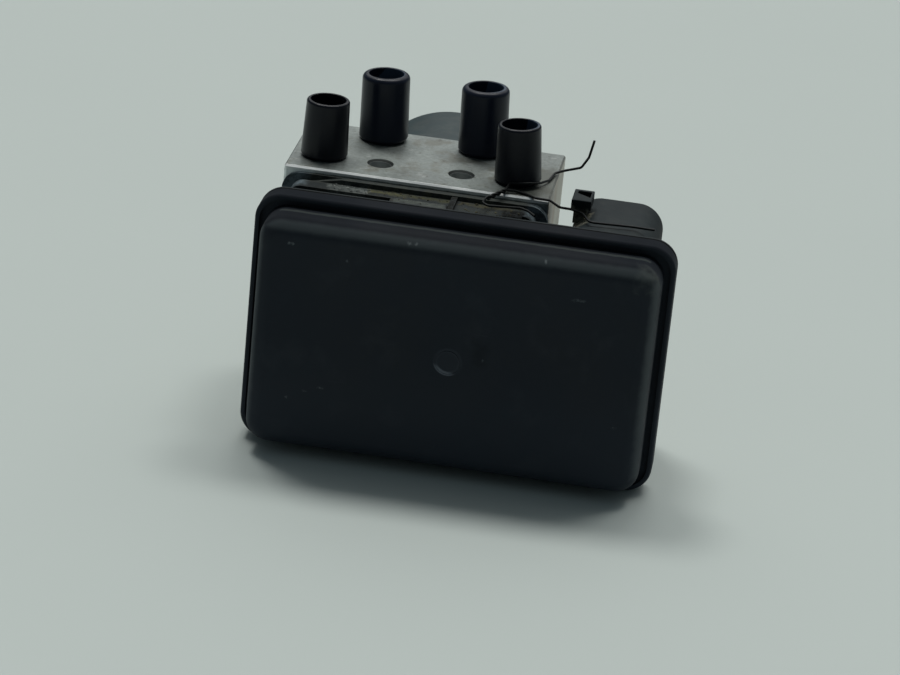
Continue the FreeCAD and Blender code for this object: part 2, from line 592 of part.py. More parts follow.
def hollow_housing(body):
    """The coil room, the plug's mouth, the seal's groove and the small holes."""
    sketch = new_sketch(body, "XZ_Plane", "block_front")
    add_rounded(sketch, "chamber_left", "chamber_low", "chamber_right", "chamber_high", "chamber_corner")
    cut(body, sketch, "block_front - chamber_end", forward=True)
    sketch = new_sketch(body, "XZ_Plane", "plug_mouth")
    add_rounded(sketch, "mouth_left", "mouth_low", "mouth_right", "mouth_high", "mouth_corner")
    cut(body, sketch, "plug_mouth - plug_base", forward=True)
    cut(body, seal_sketch(body, "block_front"), "seal_deep", forward=True)
    drill(body, "XZ_Plane", "block_front", [(x, z, "case_thread") for x, z in case_screw_spots()],
          "case_thread_deep", forward=True)
    holes = [(x, z, "coil_pin_hole") for x, z in coil_pin_spots()]
    holes += [(x, "lead_z", "lead_bore") for x in ("lead_left_x", "lead_right_x")]
    drill(body, "XZ_Plane", "chamber_end", holes, "partition", forward=True)
    drill(body, "XZ_Plane", "plug_base", [(x, z, "pin_hole") for x, z in pin_spots()],
          "plug_base - seam", forward=True)


def seal_sketch(body, level):
    sketch = new_sketch(body, "XZ_Plane", level)
    add_rounded(sketch, "seal_left", "seal_low", "seal_right", "seal_high", "seal_corner")
    add_rounded(sketch, "seal_left_in", "seal_low_in", "seal_right_in", "seal_high_in", "seal_corner_in")
    return sketch


def housing_seal():
    body = new_body("housing_seal")
    pad(body, seal_sketch(body, "block_front"), "seal_deep")
    return body


def board_posts():
    return [(x, z) for x in ("post_left", "post_right") for z in ("post_low", "post_top")]


def coil_pin_spots():
    """Two terminals on each of the four coils."""
    spots = []
    for height in ("inlet_z", "outlet_z"):
        for x, z in valve_spots(height):
            spots += [(f"{x} - coil_pin_spread", f"{z} + coil_pin_out"),
                      (f"{x} + coil_pin_spread", f"{z} + coil_pin_out")]
    return spots


def pin_spots():
    """Centres of the connector's contacts, in columns and rows."""
    return [(f"pin_x_{column}", f"pin_z_{row}") for column in range(PIN_COLUMNS) for row in range(PIN_ROWS)]


def circuit_board():
    body = new_body("circuit_board")
    sketch = new_sketch(body, "XZ_Plane", "board_back")
    add_rounded(sketch, "board_left", "board_low", "board_right", "board_high", "board_corner")
    pad(body, sketch, "board_thick")
    holes = [(x, z, "pin_hole") for x, z in pin_spots()]
    holes += [(x, z, "coil_pin") for x, z in coil_pin_spots()]
    holes += [(x, "lead_z", "lead") for x in ("lead_left_x", "lead_right_x")]
    drill(body, "XZ_Plane", "board_front", holes, "board_thick")
    return body


def chips():
    """Processor, drivers, capacitors and choke on the board's front face."""
    brick("processor", ("chip_side", "chip_thick", "chip_side"), ("chip_x", "board_front - chip_thick", "chip_z"))
    drivers = []
    for index in range(3):
        drivers.append(brick(f"driver_{index}", ("driver_wide", "driver_thick", "driver_high"),
                             (f"driver_x_{index}", "board_front - driver_thick", "driver_z")))
    group("driver_chips", drivers)
    cans = []
    for index in range(2):
        cans.append(rod(f"can_{index}", "cap_radius", "cap_tall",
                        ("cap_x", "board_front - cap_tall", f"cap_z_{index}"), "Y"))
    group("filter_capacitors", cans)
    brick("power_choke", ("choke_side", "choke_thick", "choke_side"),
          ("choke_x", "board_front - choke_thick", "choke_z"))


def connector_pins():
    pins = [rod(f"contact_{index}", "pin_half", "pin_long", (x, "board_front", z), "Y")
            for index, (x, z) in enumerate(pin_spots())]
    group("connector_pins", pins)


# Solenoid valves and their coils

def solenoid_valves():
    for kind, height in (("inlet", "inlet_z"), ("outlet", "outlet_z")):
        profile = [("0", "dome_tip"), ("dome_top", "dome_tip"), ("dome", "dome_edge"),
                   ("dome", "block_front"), ("valve_mouth - seat_gap", "block_front"),
                   ("valve_mouth - seat_gap", "valve_shoulder"), (f"{kind}_bore - seat_gap", "valve_shoulder"),
                   (f"{kind}_bore - seat_gap", "nose_start"), ("valve_nose", "nose_start"),
                   ("valve_nose", "valve_end"), ("0", "valve_end")]
        group(f"{kind}_valves", [turned(f"{kind}_valve_{side}", "Y", (x, "0", height), profile)
                                 for side, x in (("l", "valve_left_x"), ("r", "valve_right_x"))])


def solenoid_coils():
    profile = [("coil_bore", "coil_front"), ("coil", "coil_front"), ("coil", "coil_waist_front"),
               ("coil_waist", "coil_waist_front"), ("coil_waist", "coil_waist_back"),
               ("coil", "coil_waist_back"), ("coil", "coil_back"), ("coil_bore", "coil_back")]
    coils = []
    for height in ("inlet_z", "outlet_z"):
        for x, z in valve_spots(height):
            number_here = len(coils)
            can = turned(f"coil_can_{number_here}", "Y", (x, "0", z), profile)
            legs = [rod(f"leg_{number_here}_{side}", "coil_pin", "coil_leg_long",
                        (f"{x} {sign} coil_pin_spread", "board_front", f"{z} + coil_pin_out"), "Y")
                    for side, sign in (("l", "-"), ("r", "+"))]
            coils.append(combine(f"coil_{number_here}", "Part::MultiFuse", [can, *legs]))
    group("solenoid_coils", coils)


# Screws

def socket_screw(name, spot, stations, radii):
    """A cap screw along Y with a plain round recess in its head."""
    tip, seat, recess, end = stations
    shank, head, socket = radii
    profile = [("0", tip), (shank, tip), (shank, seat), (head, seat), (head, end), (socket, end),
               (socket, recess), ("0", recess)]
    return turned(name, "Y", (spot[0], "0", spot[1]), profile)


def screws():
    group("housing_screws", [
        socket_screw(f"housing_screw_{index}", spot, ("case_tip", "case_seat", "case_socket_end", "case_head_end"),
                     ("case_thread - seat_gap", "case_head", "case_socket"))
        for index, spot in enumerate(case_screw_spots())])
    group("motor_screws", [
        socket_screw(f"motor_screw_{index}", spot,
                     ("motor_tip", "can_flange_back", "motor_socket_end", "motor_head_end"),
                     ("motor_thread - seat_gap", "motor_head", "motor_socket"))
        for index, spot in enumerate(motor_screw_spots())])


# The motor

def motor_can():
    """A drawn steel can with a flange, three lugs and a bearing pot."""
    body = turned("motor_can", "Y", ("axis_x", "0", "axis_z"), [
        ("can_inner", "block_back"), ("can_flange", "block_back"), ("can_flange", "can_flange_back"),
        ("can", "can_flange_back"), ("can", "can_back"), ("pot", "can_back"), ("pot", "motor_end"),
        ("0", "motor_end"), ("0", "pot_inner_end"), ("rear_bearing", "pot_inner_end"),
        ("rear_bearing", "can_inner_end"), ("can_inner", "can_inner_end")])
    sketch = new_sketch(body, "XZ_Plane", "block_back")
    for across, up in LUGS:
        add_circle(sketch, across, up, "lobe")
    lugs = pad(body, sketch, "can_flange_thick", back=True)
    back, wide = number("can_back"), number("can")
    soften(body, lugs, "can_round",
           lambda spot, edge: abs(spot.y - back) < 1e-6 and abs(math.hypot(spot.x, spot.z) - wide) < 1e-3)
    drill(body, "XZ_Plane", "can_flange_back", [(x, z, "motor_lug_hole") for x, z in LUGS],
          "can_flange_thick", forward=True)
    return body


def bearing(name, outer, start, end):
    """A sealed ball bearing with a shallow groove for its shield on each side."""
    return turned(name, "Y", ("axis_x", "0", "axis_z"), [
        ("shaft + seat_gap", start), ("race_in", start), ("race_in", f"{start} + shield_deep"),
        (f"{outer} - race_rim", f"{start} + shield_deep"), (f"{outer} - race_rim", start),
        (f"{outer} - seat_gap", start), (f"{outer} - seat_gap", end), (f"{outer} - race_rim", end),
        (f"{outer} - race_rim", f"{end} - shield_deep"), ("race_in", f"{end} - shield_deep"),
        ("race_in", end), ("shaft + seat_gap", end)])


def motor_magnets():
    profile = [("magnet_in", "magnet_front"), ("magnet_out", "magnet_front"),
               ("magnet_out", "magnet_back"), ("magnet_in", "magnet_back")]
    arcs = []
    for index, turn in enumerate((Rotation(), Rotation(Vector(0, 1, 0), 180))):
        arcs.append(turned(f"magnet_{index}", "Y", ("axis_x", "0", "axis_z"), profile, turn, "magnet_angle"))
    group("motor_magnets", arcs)


def brush_holder():
    """The moulded plate that closes the can and guides both brushes."""
    body = new_body("brush_holder")
    sketch = new_sketch(body, "XZ_Plane", "block_back")
    add_circle(sketch, "axis_x", "axis_z", "holder")
    add_circle(sketch, "axis_x", "axis_z", "holder_hole")
    pad(body, sketch, "holder_thick", back=True)
    sketch = new_sketch(body, "XZ_Plane", "holder_back")
    add_box(sketch, "axis_x - box_out", "box_low", "axis_x - box_in", "box_high")
    add_box(sketch, "axis_x + box_in", "box_low", "axis_x + box_out", "box_high")
    pad(body, sketch, "box_deep", back=True)
    sketch = new_sketch(body, "YZ_Plane", "axis_x + slot_out")
    add_box(sketch, "slot_front", "slot_low", "slot_back", "slot_high")
    cut(body, sketch, "slot_out + slot_out")
    drill(body, "XZ_Plane", "block_back", [(x, "lead_z", "lead") for x in ("lead_left_x", "lead_right_x")],
          "holder_thick")
    return body


def brushes():
    size = ("brush_out - brush_in", "brush_back - brush_front", "brush_half + brush_half")
    group("carbon_brushes", [
        brick("brush_left", size, ("axis_x - brush_out", "brush_front", "axis_z - brush_half")),
        brick("brush_right", size, ("axis_x + brush_in", "brush_front", "axis_z - brush_half"))])
    group("brush_springs", [
        spring("brush_spring_left", "brush_spring", "brush_wire", "slot_out - brush_out", 6,
               ("axis_x - slot_out", "brush_y", "axis_z"), "X"),
        spring("brush_spring_right", "brush_spring", "brush_wire", "slot_out - brush_out", 6,
               ("axis_x + brush_out", "brush_y", "axis_z"), "X")])


def spring(name, radius, wire, length, coils, at, axis):
    """A coil spring whose wire just touches both of its ends."""
    body = new_body(name, at, TURNS[axis])
    sketch = new_sketch(body, "XZ_Plane")
    add_circle(sketch, radius, wire, wire)
    coil = body.newObject("PartDesign::AdditiveHelix", "coil")
    coil.Profile = sketch
    line = [item for item in body.Origin.OriginFeatures if item.Role == "Z_Axis"][0]
    coil.ReferenceAxis = (line, [""])
    coil.Mode = 2
    coil.Turns = coils
    coil.setExpression("Height", f"{link(length)} - 2 * {link(wire)}")
    DOC.recompute()
    return body


def rotor():
    """Everything that turns: shaft, laminated core, windings, commutator, eccentric."""
    turned("motor_shaft", "Y", ("axis_x", "0", "axis_z"), [
        ("0", "shaft_front"), ("shaft", "shaft_front"), ("shaft", "pot_inner_end - shaft_end_gap"),
        ("0", "pot_inner_end - shaft_end_gap")])
    core = new_body("armature_core", ("axis_x", "0", "axis_z"))
    sketch = new_sketch(core, "XZ_Plane", "core_front")
    add_circle(sketch, "0", "0", "core")
    add_circle(sketch, "0", "0", "shaft")
    pad(core, sketch, "core_back - core_front", back=True)
    sketch = new_sketch(core, "XZ_Plane", "core_front")
    add_box(sketch, "0 - slot_half_wide", "slot_bottom", "slot_half_wide", "slot_top")
    slot = cut(core, sketch, "core_back - core_front")
    polar(core, slot, SLOTS)
    windings = new_body("armature_windings", ("axis_x", "0", "axis_z"))
    for level in ("winding_front", "core_back"):
        sketch = new_sketch(windings, "XZ_Plane", level)
        add_circle(sketch, "0", "0", "coil_end_out")
        add_circle(sketch, "0", "0", "coil_end_in")
        pad(windings, sketch, "coil_end_long", back=True)
        if level == "winding_front":
            sketch = new_sketch(windings, "XZ_Plane", "core_front")
            add_box(sketch, "winding_gap - slot_half_wide", "slot_bottom + winding_gap",
                    "slot_half_wide - winding_gap", "coil_end_out")
            bar = pad(windings, sketch, "core_back - core_front", back=True)
            polar(windings, bar, SLOTS)
    turned("commutator", "Y", ("axis_x", "0", "axis_z"), [
        ("shaft", "commutator_front"), ("commutator", "commutator_front"), ("commutator", "commutator_back"),
        ("commutator_riser", "commutator_back"), ("commutator_riser", "commutator_back + riser_long"),
        ("shaft", "commutator_back + riser_long")])
    eccentric = new_body("pump_eccentric")
    sketch = new_sketch(eccentric, "XZ_Plane", "eccentric_front")
    add_circle(sketch, "axis_x", "eccentric_z", "eccentric")
    add_circle(sketch, "axis_x", "axis_z", "shaft")
    pad(eccentric, sketch, "eccentric_wide", back=True)
    turned("eccentric_ring", "Y", ("axis_x", "0", "eccentric_z"), [
        ("eccentric + run_gap", "eccentric_front"), ("ring", "eccentric_front"), ("ring", "eccentric_back"),
        ("eccentric + run_gap", "eccentric_back")])


def polar(body, feature, count):
    """The same feature all the way round the body's Y axis."""
    pattern = body.newObject("PartDesign::PolarPattern", "round")
    pattern.Originals = [feature]
    line = [item for item in body.Origin.OriginFeatures if item.Role == "Y_Axis"][0]
    pattern.Axis = (line, [""])
    pattern.Angle = 360
    pattern.Occurrences = count
    body.Tip = pattern
    DOC.recompute()
    return pattern


def motor_leads():
    """Two power leads and the moulded sleeve that carries them through the block."""
    group("motor_leads", [rod(f"lead_{side}", "lead", "lead_end - board_front", (x, "board_front", "lead_z"), "Y")
                          for side, x in (("l", "lead_left_x"), ("r", "lead_right_x"))])
    body = new_body("lead_sleeve")
    sketch = new_sketch(body, "XZ_Plane", "block_front")
    add_circle(sketch, "axis_x", "lead_z", "lead_sleeve")
    for x in ("lead_left_x", "lead_right_x"):
        add_circle(sketch, x, "lead_z", "lead")
    pad(body, sketch, "block_depth", back=True)


# Pump pistons and accumulators

def pump_side(side, sign):
    """One plunger, its spring and the stopper that closes its bore."""
    turn = Rotation() if sign == "+" else Rotation(Vector(0, 0, 1), 180)
    at = ("axis_x", "pump_y", "axis_z")
    turned(f"{side}_pump_piston", "X", at, [
        ("0", "plunger_in"), ("plunger", "plunger_in"), ("plunger", "plunger_out"),
        ("plunger_cup", "plunger_out"), ("plunger_cup", "plunger_cup_end"), ("0", "plunger_cup_end")], turn)
    start = f"axis_x {sign} plunger_cup_end" if sign == "+" else "axis_x - stopper_cup_end"
    spring(f"{side}_pump_spring", "pump_spring", "pump_wire", "stopper_cup_end - plunger_cup_end", 7,
           (start, "pump_y", "axis_z"), "X")
    return turned(f"{side}_stopper", "X", at, [
        ("pump_bore", "pump_step"), ("pump_mouth - seat_gap", "pump_step"),
        ("pump_mouth - seat_gap", "stopper_out"), ("0", "stopper_out"),
        ("0", "stopper_cup_end"), ("pump_bore", "stopper_cup_end")], turn)


def accumulator_side(side):
    """One accumulator piston, its spring and the cap that closes its bore."""
    at = (f"store_{side}_x", "store_y", "0")
    turned(f"{side}_accumulator_piston", "Z", at, [
        ("0", "store_cup_top"), ("store_cup", "store_cup_top"), ("store_cup", "store_piston_low"),
        ("store_bore - run_gap", "store_piston_low"), ("store_bore - run_gap", "store_piston_top"),
        ("0", "store_piston_top")])
    spring(f"{side}_accumulator_spring", "store_spring", "store_wire", "store_cup_top - store_cap_in", 6,
           (f"store_{side}_x", "store_y", "store_cap_in"), "Z")
    return turned(f"{side}_store_cap", "Z", at, [
        ("0", "store_cap_low"), ("store_mouth - seat_gap", "store_cap_low"),
        ("store_mouth - seat_gap", "store_mouth_deep"), ("store_cup", "store_mouth_deep"),
        ("store_cup", "store_cap_in"), ("0", "store_cap_in")])


# Caps pressed into the pipe ports

def port_cap(name, size, spot, lean):
    """An open-topped cap with a rounded rim and a stem down in its port."""
    body = turned(name, "Z", (*spot, f"block_top + {lean}_rise"), [
        ("0", f"0 - {size}_stem_long"), (f"{size}_stem", f"0 - {size}_stem_long"), (f"{size}_stem", "0"),
        (f"{size}_foot", "0"), (f"{size}_base", "cap_foot"), (f"{size}_top", f"{size}_tall"),
        (f"{size}_inner", f"{size}_tall"), (f"{size}_inner_low", "cap_floor"), ("0", "cap_floor")],
        Rotation(Vector(0, 1, 0), -number(f"{lean}_lean")))
    tall = number(f"{size}_tall")
    for wall, radius in ((f"{size}_top", f"{size}_round"), (f"{size}_inner", "cap_lip")):
        reach = number(wall)
        soften(body, body.Tip, radius, lambda spot_here, _: abs(spot_here.z - tall) < 1e-3
               and abs(math.hypot(spot_here.x, spot_here.y) - reach) < 1e-3)
    return body


def port_caps():
    group("small_port_caps", [
        port_cap("cap_a", "small", ("port_a_x", "small_port_y"), "straight"),
        port_cap("cap_d", "small", ("port_d_x", "small_port_y"), "crooked")])
    group("large_port_caps", [
        port_cap("cap_b", "large", ("port_b_x", "large_port_y"), "slight"),
        port_cap("cap_c", "large", ("port_c_x", "large_port_y"), "slight")])


# A thin steel wire, hooked round the front of the crooked cap and twisted with a
# second strand. Its points are steps right, back and up from that cap's foot.
FREE_END = [(20.9, 12.5, 12.0), (19.8, 12.5, 6.4), (17.8, 12.5, 2.8), (12.9, 12.0, 1.3), (10.2, 10.6, 0.6),
            (9.2, 3.4, 0.6)]
HOOK_START, HOOK_STEP, HOOK_RISES = -10, -10, [1.2, 1.5, 1.8, 2.0, 2.2, 2.3, 2.3, 2.2, 2.1, 1.9]
TWIST = [(-1.9, -11.3, 1.1), (-6.8, -19.3, 0.4)]
HAIRPIN = [(-7.7, -22.2, 0.0), (-5.9, -23.6, -0.2), (-0.5, -22.4, -0.3), (3.9, -21.6, -0.3),
           (6.2, -22.9, -0.4), (8.6, -26.2, -0.5)]
TAIL = [(44.1, -18.5, -2.5), (37.1, -18.3, -2.5), (25.9, -19.4, -2.5), (24.2, -18.9, -2.5),
        (21.6, -12.9, -2.4), (18.0, -13.0, -1.6), (14.8, -15.0, -0.8), (11.6, -13.5, 0.4),
        (7.2, -13.2, 0.4), (3.5, -10.7, 0.4), (0.6, -9.9, 0.6)]


def bent_path(points, bend):
    """Straight runs joined by arcs that touch them."""
    edges, start = [], points[0]
    for before, corner, after in zip(points, points[1:], points[2:]):
        into, out = (corner - before).normalize(), (after - corner).normalize()
        half = into.getAngle(out) / 2
        if half < 0.01:
            continue
        reach = min(bend * math.tan(half), 0.45 * before.distanceToPoint(corner),
                    0.45 * corner.distanceToPoint(after))
        first, last = corner - into * reach, corner + out * reach
        toward = (out - into).normalize()
        radius = reach / math.tan(half)
        middle = corner + toward * (radius / math.cos(half) - radius)
        edges.append(Part.LineSegment(start, first).toShape())
        edges.append(Part.Arc(first, middle, last).toShape())
        start = last
    edges.append(Part.LineSegment(start, points[-1]).toShape())
    return Part.Wire(edges)


def strand(points, thick, bend):
    """A round wire along a bent path."""
    path = bent_path(points, bend)
    section = Part.Circle(points[0], points[1] - points[0], thick).toShape()
    return path.makePipeShell([Part.Wire(section)], True, False)


def twist(phase, spread, turns=2, steps=14):
    """Points of one strand of the twisted pair."""
    start, end = [Vector(*spot) for spot in TWIST]
    along = (end - start).normalize()
    side = along.cross(Vector(0, 0, 1)).normalize()
    other = along.cross(side)
    points = []
    for step in range(steps + 1):
        angle = phase + 2 * math.pi * turns * step / steps
        points.append(start + (end - start) * (step / steps)
                      + side * (spread * math.cos(angle)) + other * (spread * math.sin(angle)))
    return points


def tie_wire():
    thick, spread = number("wire"), number("wire + wire_gap")
    reach = number("small_base + wire + wire_gap")
    slope = math.tan(math.radians(number("crooked_lean")))
    hook = []
    for index, rise in enumerate(HOOK_RISES):
        angle = math.radians(HOOK_START + HOOK_STEP * index)
        hook.append(Vector(reach * math.cos(angle) - slope * rise, reach * math.sin(angle), rise))
    first = [Vector(*spot) for spot in FREE_END] + hook + twist(0, spread) + [Vector(*spot) for spot in HAIRPIN]
    second = [Vector(*spot) for spot in TAIL] + twist(math.pi, spread)
    node = DOC.addObject("Part::Feature", "tie_wire")
    node.Shape = Part.Compound([strand(points, thick, number("wire_bend")) for points in (first, second)])
    place(node, ("port_d_x", "small_port_y", "block_top"))


PIN_COLUMNS = 3
PIN_ROWS = 8
SLOTS = 12
LUGS = [("0", "lobe_reach"), ("0 - lug_side", "0 - lug_drop"), ("lug_side", "0 - lug_drop")]


def more_sizes():
    """Sizes of the small parts, and the rows and columns that follow from them."""
    SIZES.update({
        "lug_side": "=lobe_reach * cos(30)", "lug_drop": "=lobe_reach * sin(30)",
        "lug_top_z": "=axis_z + lobe_reach", "lug_low_z": "=axis_z - lug_drop",
        "lug_left_x": "=axis_x - lug_side", "lug_right_x": "=axis_x + lug_side",
        "slot_half_wide": "=slot_wide / 2", "shaft_end_gap": "0.5", "commutator_riser": "=commutator + 1.2",
        "riser_long": "1.8", "race_in": "5.6", "race_rim": "1.4", "shield_deep": "0.4",
        "coil_leg_long": "=coil_front + coil_flange - board_front",
        "chip_side": "14", "chip_thick": "1.6", "chip_x": "=axis_x + 32", "chip_z": "20",
        "driver_wide": "11", "driver_thick": "2.4", "driver_high": "8", "driver_z": "11",
        "driver_x_0": "=board_left + 11.8", "driver_x_1": "=board_left + 27.8",
        "driver_x_2": "=board_left + 47.8",
        "cap_radius": "4", "cap_tall": "9", "cap_x": "=board_left + 7.8", "cap_z_0": "42", "cap_z_1": "54",
        "choke_side": "10", "choke_thick": "6", "choke_x": "=axis_x + 34", "choke_z": "52",
        "pin_half": "0.6", "pin_hole": "=pin_half + seat_gap", "pin_long": "=plug_mouth - 6 - board_front",
        "pin_x_first": "=plug_left + 6.6", "pin_x_step": "6.2", "pin_z_first": "13", "pin_z_step": "8",
        "small_stem": "4.1", "small_stem_long": "6", "small_foot": "6.4", "small_base": "7.15",
        "small_top": "6.55", "small_tall": "18", "small_inner": "5.4", "small_inner_low": "5", "small_round": "0.8",
        "large_stem": "5.1", "large_stem_long": "6", "large_foot": "6.9", "large_base": "7.6",
        "large_top": "7.35", "large_tall": "21", "large_inner": "5.4", "large_inner_low": "5.1", "large_round": "1.6",
        "cap_foot": "1", "cap_floor": "1.5", "cap_lip": "0.25",
        "wire": "0.38", "wire_gap": "0.03", "wire_bend": "1.6",
        "straight_lean": "0", "straight_rise": "0", "slight_lean": "2.2", "crooked_lean": "3.6",
        "slight_rise": "=large_foot * sin(slight_lean)", "crooked_rise": "=small_foot * sin(crooked_lean)",
    })
    for column in range(PIN_COLUMNS):
        SIZES[f"pin_x_{column}"] = f"=pin_x_first + pin_x_step * {column}"
    for row in range(PIN_ROWS):
        SIZES[f"pin_z_{row}"] = f"=pin_z_first + pin_z_step * {row}"


NODES = [
    "valve_block", "controller_housing", "controller_lid", "housing_seal", "circuit_board", "processor",
    "driver_chips", "filter_capacitors", "power_choke", "connector_pins", "inlet_valves", "outlet_valves",
    "solenoid_coils", "housing_screws", "motor_screws", "motor_can", "front_bearing", "rear_bearing",
    "motor_magnets", "brush_holder", "carbon_brushes", "brush_springs", "motor_shaft", "armature_core",
    "armature_windings", "commutator", "pump_eccentric", "eccentric_ring", "motor_leads", "lead_sleeve",
    "left_pump_piston", "right_pump_piston", "left_pump_spring", "right_pump_spring", "pump_stoppers",
    "left_accumulator_piston", "right_accumulator_piston", "left_accumulator_spring",
    "right_accumulator_spring", "accumulator_caps", "small_port_caps", "large_port_caps", "tie_wire",
]


def build():
    more_sizes()
    fill_sheet()
    valve_block()
    controller_lid()
    controller_housing()
    housing_seal()
    circuit_board()
    chips()
    connector_pins()
    solenoid_valves()
    solenoid_coils()
    screws()
    motor_can()
    bearing("front_bearing", "cavity", "front_bearing_start", "block_back")
    bearing("rear_bearing", "rear_bearing", "rear_bearing_front", "pot_inner_end")
    motor_magnets()
    brush_holder()
    brushes()
    rotor()
    motor_leads()
    group("pump_stoppers", [pump_side("left", "-"), pump_side("right", "+")])
    group("accumulator_caps", [accumulator_side("left"), accumulator_side("right")])
    port_caps()
    tie_wire()
    DOC.recompute()


def check_and_export():
    """Stops on any broken object, then writes one file for each piece."""
    for thing in DOC.Objects:
        if "Invalid" in thing.State or "Error" in thing.State:
            raise RuntimeError(f"{thing.Label} did not compute")
        if hasattr(thing, "Shape") and not thing.isDerivedFrom("App::OriginFeature"):
            if thing.Shape.isNull() or not thing.Shape.isValid():
                raise RuntimeError(f"{thing.Label} has no valid shape")
    os.makedirs("parts", exist_ok=True)
    for name in NODES:
        node = DOC.getObjectsByLabel(name)[0]
        node.Shape.exportStep(f"parts/{name}.step")


build()
check_and_export()
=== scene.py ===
import math
import random

import bmesh
import bpy
from bpy.props import FloatProperty, FloatVectorProperty, PointerProperty
from mathutils import Matrix, Vector


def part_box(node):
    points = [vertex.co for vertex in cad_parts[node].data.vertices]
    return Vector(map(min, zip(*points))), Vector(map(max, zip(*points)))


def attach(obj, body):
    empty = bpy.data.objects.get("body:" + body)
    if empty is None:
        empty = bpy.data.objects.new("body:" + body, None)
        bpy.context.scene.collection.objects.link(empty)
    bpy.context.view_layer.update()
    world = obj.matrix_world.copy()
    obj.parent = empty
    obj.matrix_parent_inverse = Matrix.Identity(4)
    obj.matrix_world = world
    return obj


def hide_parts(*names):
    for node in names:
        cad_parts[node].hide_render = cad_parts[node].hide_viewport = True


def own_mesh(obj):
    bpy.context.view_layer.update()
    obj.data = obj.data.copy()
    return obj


bl_info = {
    "name": "ABS brake module",
    "version": (1, 0, 0),
    "blender": (4, 5, 0),
    "location": "3D View > Sidebar > ABS module",
    "description": "Finishes and small pieces of an anti-lock brake module, with its stage",
    "category": "Object",
}

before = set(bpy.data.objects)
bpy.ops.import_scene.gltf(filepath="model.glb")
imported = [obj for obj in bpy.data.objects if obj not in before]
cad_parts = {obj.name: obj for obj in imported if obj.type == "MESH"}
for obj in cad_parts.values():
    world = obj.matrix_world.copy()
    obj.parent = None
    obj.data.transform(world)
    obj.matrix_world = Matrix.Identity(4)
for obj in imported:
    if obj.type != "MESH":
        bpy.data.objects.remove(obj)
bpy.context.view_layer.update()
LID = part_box("controller_lid")
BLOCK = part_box("valve_block")

# Lamps: name, strength, width in degrees, direction of the light
LAMPS = [("overhead_left", 0.95, 14, (0.3, -0.34, -1.0)),
         ("overhead_right", 0.6, 14, (-0.27, -0.34, -1.0)),
         ("overhead", 0.5, 14, (0.0, -0.34, -1.0)),
         ("behind", 0.95, 75, (0.0, -0.75, -1.0))]
LAMP_COLOUR = (1.0, 0.985, 0.965)
SKY_COLOUR = (0.74, 0.9, 1.0, 1.0)
SKY_STRENGTH = 0.13

# The lid's front face, the front of its flange, and the top and right end of its raised part
LID_FRONT = LID[0][1]
FLANGE_FRONT = LID_FRONT + 0.0123
LID_INSET = 0.0033
LID_TOP = LID[1][2] - LID_INSET
LID_RIGHT = LID[1][0] - LID_INSET
# Where the lid's flange meets the housing's, along Y, and the tone of the shut line
SEAM = -0.05385
SEAM_WIDTH = 0.0008
SEAM_TONE = (7, 9, 10)
# The round mark of the moulding gate on the lid
GATE = (0.0, 0.0, 0.0387)

# The camera: turn, rise and roll in degrees, what it looks at and from how far
CAMERA_TURN = 6.359
CAMERA_RISE = 22.495
CAMERA_ROLL = 5.709
CAMERA_AIM = (-0.00139, FLANGE_FRONT, 0.04146)
CAMERA_AWAY = 1.05877
SENSOR_WIDTH = 36.0

# Each row of patches: low corner, high corner, softness, raggedness, strength, tone of 0 to 255
# A dark smudge at the right of the gate mark, and the paler brow along the top of the lid's face, which is
# painted light where the face rounds over into the top
SMUDGE = ((0.0058, LID_FRONT - 0.004, 0.0372), (0.0124, LID_FRONT + 0.004, 0.0476),
          0.003, 0.005, 0.45, (12, 17, 25))
PAINTED_LIGHT_BROW = ((-LID_RIGHT, LID_FRONT - 0.002, 0.0718), (LID_RIGHT, LID_FRONT + 0.0035, 0.0766),
        0.0018, 0.0006, 0.5, (70, 78, 80))
# A pale line on the lid's top, dust on its upper right corner, and painted highlights down its right and
# left edges
LID_DUST_AND_EDGE_HIGHLIGHTS = [((-LID_RIGHT, LID_FRONT + 0.0086, LID_TOP - 0.0006),
              (LID_RIGHT, LID_FRONT + 0.0104, LID_TOP + 0.0006), 0.0003, 0.0012, 0.3, (84, 92, 88)),
             ((LID_RIGHT - 0.0085, LID_FRONT - 0.001, LID_TOP - 0.0085),
              (LID_RIGHT + 0.002, LID_FRONT + 0.0065, LID_TOP + 0.001), 0.004, 0.005, 0.4, (92, 98, 94)),
             ((LID_RIGHT - 0.0032, LID_FRONT - 0.001, 0.008),
              (LID_RIGHT + 0.006, LID_FRONT + 0.0045, LID_TOP - 0.003), 0.0022, 0.0012, 0.65, (84, 90, 92)),
             ((-LID_RIGHT - 0.006, LID_FRONT - 0.001, 0.008),
              (0.0022 - LID_RIGHT, LID_FRONT + 0.0045, LID_TOP - 0.003), 0.0018, 0.0008, 0.5, (84, 92, 94))]

# The block's left, right, front and top, and the right part of its top, which is soiled
BLOCK_LEFT, BLOCK_RIGHT = BLOCK[0][0], BLOCK[1][0]
BLOCK_FRONT, BLOCK_TOP = BLOCK[0][1], BLOCK[1][2]
SOILED = ((BLOCK_RIGHT - 0.0200, BLOCK_FRONT - 0.004, BLOCK_TOP - 0.020),
          (BLOCK_RIGHT + 0.010, BLOCK_FRONT + 0.0330, BLOCK_TOP + 0.020), 0.009, 0.012, 0.8, (84, 87, 80))
